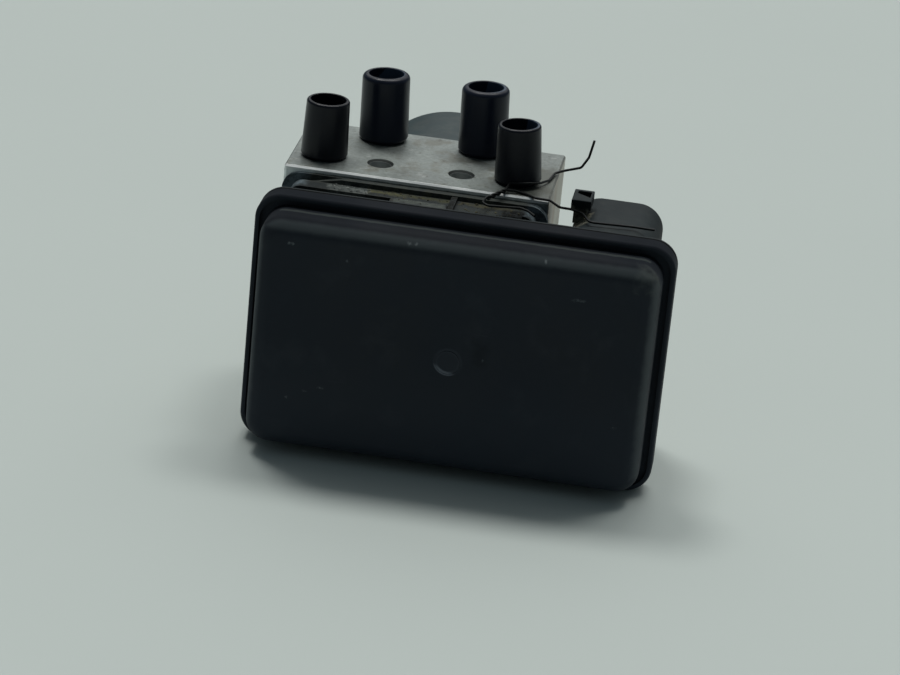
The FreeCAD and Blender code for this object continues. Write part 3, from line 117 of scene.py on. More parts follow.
# Painted shade in a strip at the right of the front, painted light on the upper corner at its left, and a
# painted highlight along its top edge
BLOCK_PAINTED_LIGHT = [((BLOCK_RIGHT - 0.0050, BLOCK_FRONT - 0.001, 0.02),
                  (BLOCK_RIGHT + 0.001, BLOCK_FRONT + 0.0010, BLOCK_TOP - 0.0015),
                  0.0008, 0.001, 0.8, (116, 126, 132)),
                 ((BLOCK_LEFT - 0.004, BLOCK_FRONT - 0.004, BLOCK_TOP - 0.0060),
                  (BLOCK_LEFT + 0.0100, BLOCK_FRONT + 0.0010, BLOCK_TOP + 0.004),
                  0.0009, 0.002, 0.95, (232, 238, 238)),
                 ((BLOCK_LEFT - 0.001, BLOCK_FRONT - 0.001, BLOCK_TOP - 0.0015),
                  (BLOCK_RIGHT + 0.001, BLOCK_FRONT + 0.0009, BLOCK_TOP + 0.001),
                  0.0004, 0.0009, 0.9, (228, 232, 230))]
# The two mounting threads in the block's top, with their rims
MOUNTS_X = (-0.0319, -0.0069)
MOUNTS_BACK = 0.0123
MOUNT_REACH = 0.00415
# Painted tones down a thread, a dark ring under the rim as painted shade and pale bare walls made paler
# still as painted light: depth where it begins, depth where it is full, tone
MOUNT_SHADE_AND_LIGHT = [(0.00002, 0.0001, (56, 60, 58)), (0.0006, 0.0008, (186, 190, 188))]

# Light specks on the lid's face: across, up, half width, half height, strength
LID_SPECKS = [(-0.0495, 0.0691, 0.0022, 0.0010, 0.75), (-0.0325, 0.0660, 0.0010, 0.0009, 0.4),
              (-0.0373, 0.0245, 0.0018, 0.0009, 0.4), (-0.0473, 0.0200, 0.0012, 0.0010, 0.5),
              (-0.0420, 0.0229, 0.0015, 0.0009, 0.3), (0.0508, 0.0253, 0.0015, 0.0010, 0.4),
              (0.0371, 0.0639, 0.0040, 0.0010, 0.3), (0.0256, 0.0742, 0.0008, 0.0014, 0.6),
              (-0.0147, 0.0738, 0.0012, 0.0010, 0.5), (-0.0127, 0.0738, 0.0009, 0.0009, 0.5),
              (0.0103, 0.0406, 0.0008, 0.0011, 0.3), (0.0354, 0.0636, 0.0030, 0.0009, 0.2)]
# Where crumbs lie: low corner, high corner, height of what they lie on, how many
CRUMBS = [((-0.0440, -0.0438), (-0.0320, -0.0393), 0.0769, 60),
          ((-0.0320, -0.0435), (0.0140, -0.0393), 0.0769, 60),
          ((-0.0050, -0.0500), (0.0140, -0.0440), 0.0769, 30),
          ((-0.0235, -0.0510), (-0.0080, -0.0485), 0.0785, 5),
          ((0.0142, -0.0505), (0.0165, -0.0450), 0.0762, 16),
          ((0.0300, -0.0380), (0.0345, -0.0340), 0.0763, 14)]
# A crumb's least size as a share of the largest, and its lift and unevenness as shares of its own size
LEAST_CRUMB = 0.25
CRUMB_LIFT = 0.2
UNEVEN = 0.13
CRUMB_SEED = 7
# Dirt on the housing, in rows like the patches above, with painted light where a row is marked so, and one
# row only painted near black
DIRT_AND_PAINTED_LIGHT = [((-0.0535, -0.0520, 0.0700), (0.0160, -0.0385, 0.0790), 0.0012, 0.0040, 0.5, (44, 46, 43)),
        # Dust on the channel's back wall, made lighter as painted light where the block's shadow lies
        ((-0.0535, -0.0400, 0.0690), (0.0190, -0.0360, 0.0800), 0.0008, 0.0014, 0.75, (68, 71, 66)),
        ((-0.0450, -0.0465, 0.0700), (-0.0315, -0.0385, 0.0790), 0.0022, 0.0070, 0.95, (96, 101, 98)),
        ((-0.0335, -0.0430, 0.0700), (-0.0195, -0.0386, 0.0790), 0.0016, 0.0046, 0.9, (84, 84, 62)),
        # Dirt on the shadowed front wall of the raised floor, made lighter as painted light
        ((-0.0500, -0.0535, 0.0690), (-0.0225, -0.0438, 0.0790), 0.0012, 0.0030, 0.85, (58, 59, 54)),
        ((-0.0205, -0.0428, 0.0700), (-0.0070, -0.0386, 0.0790), 0.0016, 0.0046, 0.85, (72, 73, 54)),
        ((-0.0238, -0.0530, 0.0772), (-0.0074, -0.0468, 0.0800), 0.0012, 0.0030, 0.8, (88, 93, 88)),
        ((-0.0080, -0.0505, 0.0760), (-0.0053, -0.0386, 0.0790), 0.0006, 0.0016, 0.8, (26, 27, 25)),
        ((-0.0055, -0.0428, 0.0700), (0.0120, -0.0386, 0.0790), 0.0016, 0.0046, 0.85, (74, 72, 56)),
        ((-0.0055, -0.0510, 0.0700), (0.0080, -0.0424, 0.0790), 0.0018, 0.0046, 0.75, (62, 66, 63)),
        # The right end of the channel, painted near black
        ((0.0080, -0.0515, 0.0700), (0.0185, -0.0400, 0.0790), 0.0020, 0.0050, 1.0, (7, 8, 8)),
        # Painted light on the neck's left corner, which lies in the block's shadow
        ((-0.0620, -0.0445, 0.0640), (-0.0500, -0.0340, 0.0820), 0.0030, 0.0030, 0.95, (92, 103, 108)),
        # Painted light on the neck's right corner
        ((0.0145, -0.0445, 0.0640), (0.0260, -0.0340, 0.0820), 0.0024, 0.0030, 0.95, (86, 97, 102)),
        ((0.0270, -0.0400, 0.0700), (0.0350, -0.0300, 0.0790), 0.0016, 0.0045, 0.8, (128, 126, 110))]
# Springs that shorten with a joint: name without _spring, axis, end that stays (0 low, 1 high), stroke
SPRINGS = [("left_pump", 0, 0, 0.002), ("right_pump", 0, 1, 0.002), ("left_accumulator", 2, 0, 0.007),
           ("right_accumulator", 2, 0, 0.007)]
# Share of a cap's half width that its bore takes, and the tone painted in the bore as painted light
CAP_BORE = 0.72
BORE_LIGHT_TONE = (50, 64, 80)
FLOOR_DROP = 0.0002


def linear(red, green, blue):
    """A screen colour of 0 to 255 as the plain light values that shaders take."""
    return tuple((part / 255 / 12.92) if part < 11 else ((part / 255 + 0.055) / 1.055) ** 2.4
                 for part in (red, green, blue))


# Sizes and colours that a user would change

class AbsSizes(bpy.types.PropertyGroup):
    """Sizes of the pieces made here."""
    crumb: FloatProperty(name="Crumb", description="Width of the largest dirt crumb", default=0.0011,
                         unit="LENGTH")
    floor_size: FloatProperty(name="Floor", description="Width of the floor", default=6.0,
                              unit="LENGTH")
    lens: FloatProperty(name="Lens", description="Focal length of the camera in millimetres",
                        default=142.09)


class AbsColours(bpy.types.PropertyGroup):
    """Colours of the main finishes."""
    lid: FloatVectorProperty(name="Lid", description="Plastic of the lid", subtype="COLOR",
                             default=linear(29, 35, 42))
    housing: FloatVectorProperty(name="Housing", description="Plastic of the housing", subtype="COLOR",
                                 default=linear(21, 26, 29))
    film: FloatVectorProperty(name="Dust film", description="Grey film on plastic that faces up",
                              subtype="COLOR", default=linear(42, 51, 53))
    block: FloatVectorProperty(name="Block", description="Bare aluminium of the block", subtype="COLOR",
                               default=linear(128, 135, 132))
    can: FloatVectorProperty(name="Motor can", description="Coated steel of the can", subtype="COLOR",
                             default=linear(47, 61, 63))
    cap: FloatVectorProperty(name="Caps", description="Plastic of the port caps", subtype="COLOR",
                             default=linear(6, 11, 21))
    floor: FloatVectorProperty(name="Floor", description="Pale floor", subtype="COLOR",
                               default=linear(186, 195, 191))


# Node groups for effects that several finishes share

class Tree:
    """Adds nodes to a node tree and joins them."""

    def __init__(self, tree):
        self.tree = tree

    def node(self, kind, inputs=None, **settings):
        item = self.tree.nodes.new(kind)
        for key, value in settings.items():
            setattr(item, key, value)
        for key, value in (inputs or {}).items():
            self.feed(value, item.inputs[key])
        return item

    def feed(self, value, socket):
        if isinstance(value, bpy.types.NodeSocket):
            self.tree.links.new(value, socket)
        else:
            socket.default_value = value

    def maths(self, operation, first, second=0.5):
        return self.node("ShaderNodeMath", {0: first, 1: second}, operation=operation).outputs[0]

    def vector(self, operation, first, second):
        return self.node("ShaderNodeVectorMath", {0: first, 1: second}, operation=operation).outputs[0]

    def length(self, value):
        return self.node("ShaderNodeVectorMath", {0: value}, operation="LENGTH").outputs["Value"]

    def mix(self, amount, first, second):
        item = self.node("ShaderNodeMix", data_type="RGBA")
        self.feed(amount, item.inputs[0])
        self.feed(first, item.inputs[6])
        self.feed(second, item.inputs[7])
        return item.outputs[2]

    def ramp(self, value, low, high, out_low=0.0, out_high=1.0):
        item = self.node("ShaderNodeMapRange", {0: value, 1: low, 2: high, 3: out_low, 4: out_high},
                         interpolation_type="SMOOTHSTEP")
        return item.outputs[0]

    def noise(self, where, scale, detail=3.0, rough=0.5):
        item = self.node("ShaderNodeTexNoise", {"Vector": where, "Scale": scale, "Detail": detail,
                                                "Roughness": rough})
        return item.outputs["Fac"]

    def stretch(self, where, scale):
        item = self.node("ShaderNodeMapping", {"Vector": where, "Scale": scale})
        return item.outputs[0]


GROUPS = {}


def new_group(name, inputs, outputs):
    """An empty group with named sockets, and its input and output nodes."""
    tree = bpy.data.node_groups.new(name, "ShaderNodeTree")
    for label, kind, value in inputs:
        socket = tree.interface.new_socket(label, in_out="INPUT", socket_type=kind)
        if value is not None:
            socket.default_value = value
    for label, kind in outputs:
        tree.interface.new_socket(label, in_out="OUTPUT", socket_type=kind)
    GROUPS[name] = tree
    source = tree.nodes.new("NodeGroupInput")
    sink = tree.nodes.new("NodeGroupOutput")
    return Tree(tree), source.outputs, sink.inputs


def grain_group():
    """Fine moulded or cast grain: a value for bump and a slow drift of tone."""
    tree, given, out = new_group("surface_grain", [
        ("Where", "NodeSocketVector", None), ("Grain scale", "NodeSocketFloat", 2500.0),
        ("Drift scale", "NodeSocketFloat", 60.0)],
        [("Grain", "NodeSocketFloat"), ("Drift", "NodeSocketFloat")])
    tree.feed(tree.noise(given["Where"], given["Grain scale"], 2.0), out["Grain"])
    tree.feed(tree.ramp(tree.noise(given["Where"], given["Drift scale"], 4.0, 0.6), 0.3, 0.7), out["Drift"])


def scratch_group():
    """Thin straight scuffs in one direction, broken up along their length."""
    tree, given, out = new_group("thin_scuffs", [
        ("Where", "NodeSocketVector", None), ("Stretch", "NodeSocketVector", (40.0, 900.0, 900.0)),
        ("Level", "NodeSocketFloat", 0.68)], [("Mask", "NodeSocketFloat")])
    fine = tree.noise(tree.vector("MULTIPLY", given["Where"], given["Stretch"]), 1.0, 2.0)
    patches = tree.ramp(tree.noise(given["Where"], 70.0, 2.0), 0.45, 0.62)
    edge = tree.maths("ADD", given["Level"], 0.05)
    item = tree.node("ShaderNodeMapRange", {0: fine, 1: given["Level"], 2: edge, 3: 0.0, 4: 1.0})
    tree.feed(tree.maths("MULTIPLY", item.outputs[0], patches), out["Mask"])


def dust_group():
    """Dust and dirt lying on faces that look up, and a film mask of those faces, which the lid uses for
    painted shade on its tops.
    """
    tree, given, out = new_group("lying_dust", [
        ("Where", "NodeSocketVector", None), ("Amount", "NodeSocketFloat", 0.5),
        ("Scale", "NodeSocketFloat", 160.0)],
        [("Mask", "NodeSocketFloat"), ("Speck", "NodeSocketFloat"), ("Film and top shade", "NodeSocketFloat")])
    up = facing(tree)[2]
    lying = tree.ramp(up, 0.3, 0.95)
    cloud = tree.ramp(tree.noise(given["Where"], given["Scale"], 6.0, 0.65), 0.42, 0.7)
    tree.feed(tree.maths("MULTIPLY", tree.maths("MULTIPLY", lying, cloud), given["Amount"]), out["Mask"])
    patchy = tree.ramp(tree.noise(given["Where"], 75.0, 5.0, 0.6), 0.3, 0.7, 0.72, 1.0)
    tree.feed(tree.maths("MULTIPLY", tree.ramp(up, 0.12, 0.9), patchy), out["Film and top shade"])
    cells = tree.node("ShaderNodeTexVoronoi", {"Vector": given["Where"], "Scale": 330.0}, feature="F1")
    speck = tree.ramp(cells.outputs["Distance"], 0.1, 0.05)
    rare = tree.ramp(tree.noise(given["Where"], 110.0, 2.0), 0.62, 0.68)
    tree.feed(tree.maths("MULTIPLY", speck, rare), out["Speck"])


def band_group():
    """A soft band round one plane: one where a coordinate lies near a level."""
    tree, given, out = new_group("near_level", [
        ("Value", "NodeSocketFloat", 0.0), ("Level", "NodeSocketFloat", 0.0),
        ("Width", "NodeSocketFloat", 0.001)], [("Mask", "NodeSocketFloat")])
    away = tree.maths("ABSOLUTE", tree.maths("SUBTRACT", given["Value"], given["Level"]))
    share = tree.maths("DIVIDE", away, given["Width"])
    tree.feed(tree.ramp(share, 1.0, 0.35), out["Mask"])


def patch_group():
    """A patch with ragged edges: one inside a box of coordinates."""
    tree, given, out = new_group("ragged_patch", [
        ("Where", "NodeSocketVector", None), ("Low", "NodeSocketVector", (0.0, 0.0, 0.0)),
        ("High", "NodeSocketVector", (0.0, 0.0, 0.0)), ("Soft", "NodeSocketFloat", 0.001),
        ("Ragged", "NodeSocketFloat", 0.002)], [("Mask", "NodeSocketFloat")])
    wander = tree.node("ShaderNodeTexNoise", {"Vector": given["Where"], "Scale": 330.0, "Detail": 5.0})
    centred = tree.vector("SUBTRACT", wander.outputs["Color"], (0.5, 0.5, 0.5))
    scaled = tree.node("ShaderNodeVectorMath", {0: centred, "Scale": given["Ragged"]}, operation="SCALE")
    here = tree.vector("ADD", given["Where"], scaled.outputs[0])
    inside = tree.vector("MINIMUM", tree.vector("SUBTRACT", here, given["Low"]),
                         tree.vector("SUBTRACT", given["High"], here))
    x, y, z = tree.node("ShaderNodeSeparateXYZ", {0: inside}).outputs[:3]
    least = tree.maths("MINIMUM", tree.maths("MINIMUM", x, y), z)
    tree.feed(tree.ramp(tree.maths("DIVIDE", least, given["Soft"]), 0.0, 1.0), out["Mask"])


def fleck_group():
    """A small round fleck with an uneven outline."""
    tree, given, out = new_group("small_fleck", [
        ("Where", "NodeSocketVector", None), ("Spot", "NodeSocketVector", (0.0, 0.0, 0.0)),
        ("Spread", "NodeSocketVector", (0.001, 0.001, 0.001))], [("Mask", "NodeSocketFloat")])
    away = tree.vector("DIVIDE", tree.vector("SUBTRACT", given["Where"], given["Spot"]), given["Spread"])
    uneven = tree.maths("MULTIPLY", tree.noise(given["Where"], 1300.0, 3.0), 1.2)
    tree.feed(tree.ramp(tree.maths("ADD", tree.length(away), uneven), 1.3, 0.5), out["Mask"])


def hole_group():
    """One inside a circle about an upright axis."""
    tree, given, out = new_group("round_hole", [
        ("Where", "NodeSocketVector", None), ("Axis", "NodeSocketVector", (0.0, 0.0, 0.0)),
        ("Radius", "NodeSocketFloat", 0.004)], [("Mask", "NodeSocketFloat")])
    flat = tree.vector("MULTIPLY", tree.vector("SUBTRACT", given["Where"], given["Axis"]), (1.0, 1.0, 0.0))
    tree.feed(tree.maths("LESS_THAN", tree.length(flat), given["Radius"]), out["Mask"])


def use(tree, name, **inputs):
    """The outputs of a shared effect. An input's name has _ for each space."""
    item = tree.node("ShaderNodeGroup")
    item.node_tree = GROUPS[name]
    for key, value in inputs.items():
        tree.feed(value, item.inputs[key.replace("_", " ").capitalize()])
    return item.outputs


# Finishes

def new_finish(name, metallic=0.0, roughness=0.5, specular=0.5):
    """A material with its shader, its object coordinates and an output."""
    made = bpy.data.materials.new(name)
    made.use_nodes = True
    tree = Tree(made.node_tree)
    made.node_tree.nodes.clear()
    shader = tree.node("ShaderNodeBsdfPrincipled", {"Metallic": metallic, "Roughness": roughness,
                                                    "Specular IOR Level": specular})
    tree.node("ShaderNodeOutputMaterial", {"Surface": shader.outputs[0]})
    return made, tree, shader


def spot(tree):
    """Object coordinates, so that a finish goes with its piece."""
    return tree.node("ShaderNodeTexCoord").outputs["Object"]


def split(tree, where):
    return tree.node("ShaderNodeSeparateXYZ", {0: where}).outputs


def facing(tree):
    """The direction that a surface faces, in its three parts."""
    return split(tree, tree.node("ShaderNodeNewGeometry").outputs["Normal"])


def bump(tree, shader, height, distance, strength):
    item = tree.node("ShaderNodeBump", {"Height": height, "Distance": distance, "Strength": strength})
    tree.feed(item.outputs[0], shader.inputs["Normal"])


def four(colour):
    return (*colour[:3], 1.0)


def shade(colour, factor):
    return tuple(min(1.0, part * factor) for part in colour[:3])


def tinted(tree, base, mask, strength, tone):
    """A colour with a tone of 0 to 255 laid over it where a mask says."""
    return tree.mix(tree.maths("MULTIPLY", mask, strength), base, four(linear(*tone)))


def patch_mask(tree, where, patch):
    low, high, soft, ragged = patch[:4]
    return use(tree, "ragged_patch", where=where, low=low, high=high, soft=soft, ragged=ragged)["Mask"]


def patched(tree, base, where, patch):
    """A colour with one ragged patch laid over it."""
    return tinted(tree, base, patch_mask(tree, where, patch), *patch[4:])


def seamed(tree, base, where):
    """A colour with the dark shut line between lid and housing laid over it."""
    joint = use(tree, "near_level", value=split(tree, where)[1], level=SEAM, width=SEAM_WIDTH)
    return tinted(tree, base, joint["Mask"], 0.8, SEAM_TONE)


def plastic(name, colour, roughness, dust, specular=0.3, grain=2600.0):
    """Moulded plastic with grain, slow tone, scuffs and some lying dust."""
    made, tree, shader = new_finish(name, roughness=roughness, specular=specular)
    where = spot(tree)
    grains = use(tree, "surface_grain", where=where, grain_scale=grain)
    dust_and_top_shade = use(tree, "lying_dust", where=where, amount=dust)
    scuffs = use(tree, "thin_scuffs", where=where)
    base = tree.mix(grains["Drift"], four(shade(colour, 0.85)), four(shade(colour, 1.15)))
    base = tree.mix(tree.maths("MULTIPLY", scuffs["Mask"], 0.35), base, four(shade(colour, 2.4)))
    base = tree.mix(dust_and_top_shade["Mask"], base, four(linear(112, 112, 104)))
    base = tinted(tree, base, dust_and_top_shade["Speck"], 0.4, (124, 124, 118))
    tree.feed(base, shader.inputs["Base Color"])
    rough = tree.ramp(grains["Drift"], 0.0, 1.0, roughness - 0.05, roughness + 0.06)
    tree.feed(rough, shader.inputs["Roughness"])
    bump(tree, shader, grains["Grain"], 0.00003, 0.6)
    return made


def metal(name, colour, roughness, brushed=(60.0, 1500.0, 1500.0)):
    """Turned, ground or drawn metal with fine lines along one direction."""
    made, tree, shader = new_finish(name, metallic=0.9, roughness=roughness)
    where = spot(tree)
    grains = use(tree, "surface_grain", where=where, grain_scale=900.0, drift_scale=110.0)
    lines = tree.noise(tree.stretch(where, brushed), 1.0, 3.0)
    base = tree.mix(grains["Drift"], four(shade(colour, 0.82)), four(shade(colour, 1.12)))
    tree.feed(base, shader.inputs["Base Color"])
    tree.feed(tree.ramp(lines, 0.2, 0.8, roughness - 0.08, roughness + 0.1), shader.inputs["Roughness"])
    bump(tree, shader, lines, 0.00002, 0.5)
    return made


def block_finish(colour):
    """Sawn and milled aluminium with stains, specks and a soiled place; its threads get painted shade under
    the rim and painted light on pale walls, and its front gets painted shade, light and a highlight.
    """
    made, tree, shader = new_finish("block_metal", metallic=0.75, roughness=0.48)
    where = spot(tree)
    z = split(tree, where)[2]
    grains = use(tree, "surface_grain", where=where, grain_scale=1900.0, drift_scale=45.0)
    scuffs = use(tree, "thin_scuffs", where=where, stretch=(90.0, 1300.0, 1300.0), level=0.66)
    base = tree.mix(grains["Drift"], four(shade(colour, 0.8)), four(shade(colour, 1.15)))
    fine = tree.ramp(tree.noise(where, 750.0, 5.0, 0.7), 0.3, 0.7)
    base = tree.mix(0.35, base, tree.mix(fine, four(shade(colour, 0.62)), four(shade(colour, 1.5))))
    stain = tree.ramp(tree.noise(where, 120.0, 7.0, 0.7), 0.5, 0.64)
    base = tinted(tree, base, stain, 0.5, (104, 102, 90))
    pale = tree.ramp(tree.noise(tree.stretch(where, (150.0, 190.0, 150.0)), 1.0, 6.0, 0.7), 0.56, 0.7)
    base = tinted(tree, base, pale, 0.35, (188, 192, 188))
    dots = tree.ramp(tree.noise(where, 480.0, 3.0, 0.6), 0.65, 0.7)
    base = tinted(tree, base, dots, 0.6, (58, 58, 52))
    base = tinted(tree, base, scuffs["Mask"], 0.25, (206, 209, 206))
    direction = facing(tree)
    side = tree.ramp(direction[0], 0.6, 0.9)
    above = tree.ramp(direction[2], 0.6, 0.9)
    rust = tree.ramp(tree.noise(tree.stretch(where, (60.0, 130.0, 26.0)), 1.0, 4.0), 0.42, 0.62)
    base = tinted(tree, base, side, 0.6, (196, 187, 174))
    base = tinted(tree, base, tree.maths("MULTIPLY", side, rust), 0.35, (150, 118, 92))
    soiled = tree.maths("MULTIPLY", patch_mask(tree, where, SOILED), above)
    base = tinted(tree, base, soiled, *SOILED[4:])
    # Painted shade under each thread's rim and painted light on its pale walls
    for across in MOUNTS_X:
        hole = use(tree, "round_hole", where=where, axis=(across, BLOCK_FRONT + MOUNTS_BACK, 0.0),
                   radius=MOUNT_REACH)
        for begins, full, tone in MOUNT_SHADE_AND_LIGHT:
            deep = tree.maths("MULTIPLY", hole["Mask"], tree.ramp(z, BLOCK_TOP - begins, BLOCK_TOP - full))
            base = tree.mix(deep, base, four(linear(*tone)))
    # Painted shade, painted light and a painted highlight on the block's front
    for patch in BLOCK_PAINTED_LIGHT:
        base = patched(tree, base, where, patch)
    tree.feed(base, shader.inputs["Base Color"])
    tree.feed(tree.ramp(grains["Drift"], 0.0, 1.0, 0.4, 0.56), shader.inputs["Roughness"])
    lines = tree.noise(tree.stretch(where, (900.0, 900.0, 18.0)), 1.0, 2.0)
    bump(tree, shader, tree.maths("ADD", lines, grains["Grain"]), 0.00003, 0.6)
    return made


def lid_finish(colour):
    """Smooth dark plastic with a gate mark, a smudge, dust, a few light specks, painted highlights on its
    side edges and gate ring, painted light on its brow and lower face, and painted shade on its tops.
    """
    made, tree, shader = new_finish("lid_plastic", roughness=0.6, specular=0.16)
    where = spot(tree)
    grains = use(tree, "surface_grain", where=where, grain_scale=3000.0, drift_scale=28.0)
    scuffs = use(tree, "thin_scuffs", where=where, stretch=(55.0, 700.0, 700.0), level=0.7)
    dust_and_top_shade = use(tree, "lying_dust", where=where)
    base = tree.mix(grains["Drift"], four(shade(colour, 0.9)), four(shade(colour, 1.1)))
    cloudy = tree.ramp(tree.noise(where, 70.0, 5.0, 0.6), 0.52, 0.7)
    base = tinted(tree, base, cloudy, 0.1, (66, 72, 76))
    base = patched(tree, base, where, SMUDGE)
    from_gate = tree.vector("MULTIPLY", tree.vector("SUBTRACT", where, GATE), (1.0, 0.0, 1.0))
    reach = tree.length(from_gate)
    base = tinted(tree, base, tree.ramp(reach, 0.0042, 0.0036), 0.1, (74, 80, 88))
    ring = use(tree, "near_level", value=reach, level=0.0037, width=0.0009)["Mask"]
    base = tinted(tree, base, ring, 0.15, (78, 85, 94))
    # The lower left arc of the gate ring is painted lighter: a painted highlight where the ring catches
    # light
    lower = tree.node("ShaderNodeVectorMath", {0: from_gate, 1: (-90.0, 0.0, -225.0)},
                      operation="DOT_PRODUCT")
    painted_gate_highlight = tree.maths("MULTIPLY", ring, tree.ramp(lower.outputs["Value"], 0.5, 0.85))
    base = tinted(tree, base, painted_gate_highlight, 0.42, (132, 140, 150))
    # Faces that look up are painted darker here: painted shade on the lid's tops
    base = tinted(tree, base, dust_and_top_shade["Film and top shade"], 0.55, (9, 11, 14))
    # The paler brow: painted light along the top of the lid's face
    base = patched(tree, base, where, PAINTED_LIGHT_BROW)
    base = tinted(tree, base, scuffs["Mask"], 0.1, (70, 78, 82))
    base = seamed(tree, base, where)
    # Dust on the lid's top and upper right corner, and painted highlights down its right and left edges
    for patch in LID_DUST_AND_EDGE_HIGHLIGHTS:
        base = patched(tree, base, where, patch)
    # The lower part of the lid's face is painted lighter: painted light that makes up for the shade near
    # the floor
    low = tree.ramp(split(tree, where)[2], 0.045, 0.004)
    base = tinted(tree, base, low, 0.26, (62, 70, 80))
    for across, up, wide, high, strength in LID_SPECKS:
        speck = use(tree, "small_fleck", where=where, spot=(across, LID_FRONT + 0.001, up),
                    spread=(wide, 0.003, high))
        base = tinted(tree, base, speck["Mask"], strength, (126, 134, 136))
    tree.feed(base, shader.inputs["Base Color"])
    above = tree.maths("MULTIPLY", tree.ramp(facing(tree)[2], 0.2, 0.8), 0.3)
    rough = tree.maths("ADD", tree.ramp(grains["Drift"], 0.0, 1.0, 0.56, 0.68), above)
    tree.feed(rough, shader.inputs["Roughness"])
    bump(tree, shader, grains["Grain"], 0.00002, 0.35)
    return made


def housing_finish(colour):
    """Moulded plastic with a grey film, dirt crusted in the channel and at the latch boss, painted light on
    shadowed walls and neck corners, and a near black patch at the channel's right end.
    """
    made, tree, shader = new_finish("housing_plastic", roughness=0.65, specular=0.13)
    where = spot(tree)
    grains = use(tree, "surface_grain", where=where, grain_scale=2600.0)
    dust_and_top_shade = use(tree, "lying_dust", where=where, amount=0.12)
    scuffs = use(tree, "thin_scuffs", where=where, level=0.7)
    base = tree.mix(grains["Drift"], four(shade(colour, 0.85)), four(shade(colour, 1.15)))
    base = tree.mix(tree.maths("MULTIPLY", dust_and_top_shade["Film and top shade"], 0.6), base, four(tuple(colours().film)))
    base = tree.mix(tree.maths("MULTIPLY", scuffs["Mask"], 0.25), base, four(shade(colour, 2.4)))
    base = tinted(tree, base, dust_and_top_shade["Mask"], 0.7, (96, 98, 90))
    dirt_and_light_mask = None
    mottle = tree.ramp(tree.noise(where, 520.0, 5.0, 0.7), 0.36, 0.6, 0.35, 1.0)
    # Dirt patches, some of them painted light, all made rough and bumpy alike
    for patch in DIRT_AND_PAINTED_LIGHT:
        strength, tone = patch[4:]
        mask = tree.maths("MULTIPLY", patch_mask(tree, where, patch), mottle)
        amount = tree.maths("MULTIPLY", mask, strength)
        base = tree.mix(amount, base, four(linear(*tone)))
        dirt_and_light_mask = amount if dirt_and_light_mask is None else tree.maths("MAXIMUM", dirt_and_light_mask, amount)
    base = seamed(tree, base, where)
    tree.feed(base, shader.inputs["Base Color"])
    tree.feed(tree.ramp(dirt_and_light_mask, 0.0, 1.0, 0.64, 0.95), shader.inputs["Roughness"])
    lumps = tree.maths("MULTIPLY", tree.noise(where, 900.0, 4.0, 0.7), dirt_and_light_mask)
    rough = tree.maths("ADD", tree.maths("MULTIPLY", grains["Grain"], 0.05), lumps)
    bump(tree, shader, rough, 0.0005, 0.7)
    return made


def painted_light_bores(made, node):
    """A pale tone painted inside the two caps of a node as painted light in their bores, which stand at its
    left and right ends.
    """
    tree = Tree(made.node_tree)
    where = spot(tree)
    low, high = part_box(node)
    half = (high[1] - low[1]) / 2
    shader = next(item for item in made.node_tree.nodes if item.type == "BSDF_PRINCIPLED")
    base = shader.inputs["Base Color"].links[0].from_socket
    for across in (low[0] + half, high[0] - half):
        bore = use(tree, "round_hole", where=where, axis=(across, low[1] + half, 0.0),
                   radius=half * CAP_BORE)
        base = tree.mix(bore["Mask"], base, four(linear(*BORE_LIGHT_TONE)))
    tree.feed(base, shader.inputs["Base Color"])


def board_finish():
    """Green solder mask with faint tracks under it."""
    made, tree, shader = new_finish("board_laminate", roughness=0.35)
    where = spot(tree)
    tracks = tree.node("ShaderNodeTexBrick", {
        "Vector": where, "Scale": 160.0, "Mortar Size": 0.04, "Color1": four(linear(26, 92, 58)),
        "Color2": four(linear(22, 84, 52)), "Mortar": four(linear(40, 112, 72))})
    tree.feed(tracks.outputs[0], shader.inputs["Base Color"])
    bump(tree, shader, tracks.outputs[1], 0.00002, 0.4)
    tree.feed(tree.ramp(tree.noise(where, 200.0), 0.3, 0.7, 0.3, 0.42), shader.inputs["Roughness"])
    return made


def winding_finish():
    """Enamelled copper wire seen as fine ridges."""
    made, tree, shader = new_finish("winding_copper", metallic=0.85, roughness=0.3)
    where = spot(tree)
    turns = tree.node("ShaderNodeTexWave", {
        "Vector": where, "Scale": 420.0, "Distortion": 1.5, "Detail": 2.0}, bands_direction="DIAGONAL")
    base = tree.mix(turns.outputs[1], four(linear(112, 52, 22)), four(linear(196, 108, 58)))
    tree.feed(base, shader.inputs["Base Color"])
    bump(tree, shader, turns.outputs[1], 0.00015, 0.8)
    tree.feed(tree.ramp(tree.noise(where, 300.0), 0.3, 0.7, 0.26, 0.4), shader.inputs["Roughness"])
    return made


def give(made, *nodes):
    """Puts a finish on CAD nodes in place of their plain colour."""
    for name in nodes:
        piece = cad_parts[name]
        piece.data.materials.clear()
        piece.data.materials.append(made)


def colours():
    return bpy.context.scene.abs_colours


def sizes():
    return bpy.context.scene.abs_sizes


# Operators, one for each piece or group of like pieces

class ABS_OT_groups(bpy.types.Operator):
    """Makes the node groups that the finishes share"""
    bl_idname = "abs_module.groups"
    bl_label = "Shared effects"

    def execute(self, context):
        for make in (grain_group, scratch_group, dust_group, band_group, patch_group, fleck_group,
                     hole_group):
            make()
        return {"FINISHED"}


class ABS_OT_controller(bpy.types.Operator):
    """Finishes the controller's lid and housing"""
    bl_idname = "abs_module.controller"
    bl_label = "Controller"

    def execute(self, context):
        give(lid_finish(tuple(colours().lid)), "controller_lid")
        give(housing_finish(tuple(colours().housing)), "controller_housing")
        give(plastic("seal_rubber", linear(30, 30, 30), 0.7, 0.2), "housing_seal")
        return {"FINISHED"}


class ABS_OT_block(bpy.types.Operator):
    """Finishes the aluminium valve block"""
    bl_idname = "abs_module.block"
    bl_label = "Valve block"

    def execute(self, context):
        give(block_finish(tuple(colours().block)), "valve_block")
        return {"FINISHED"}


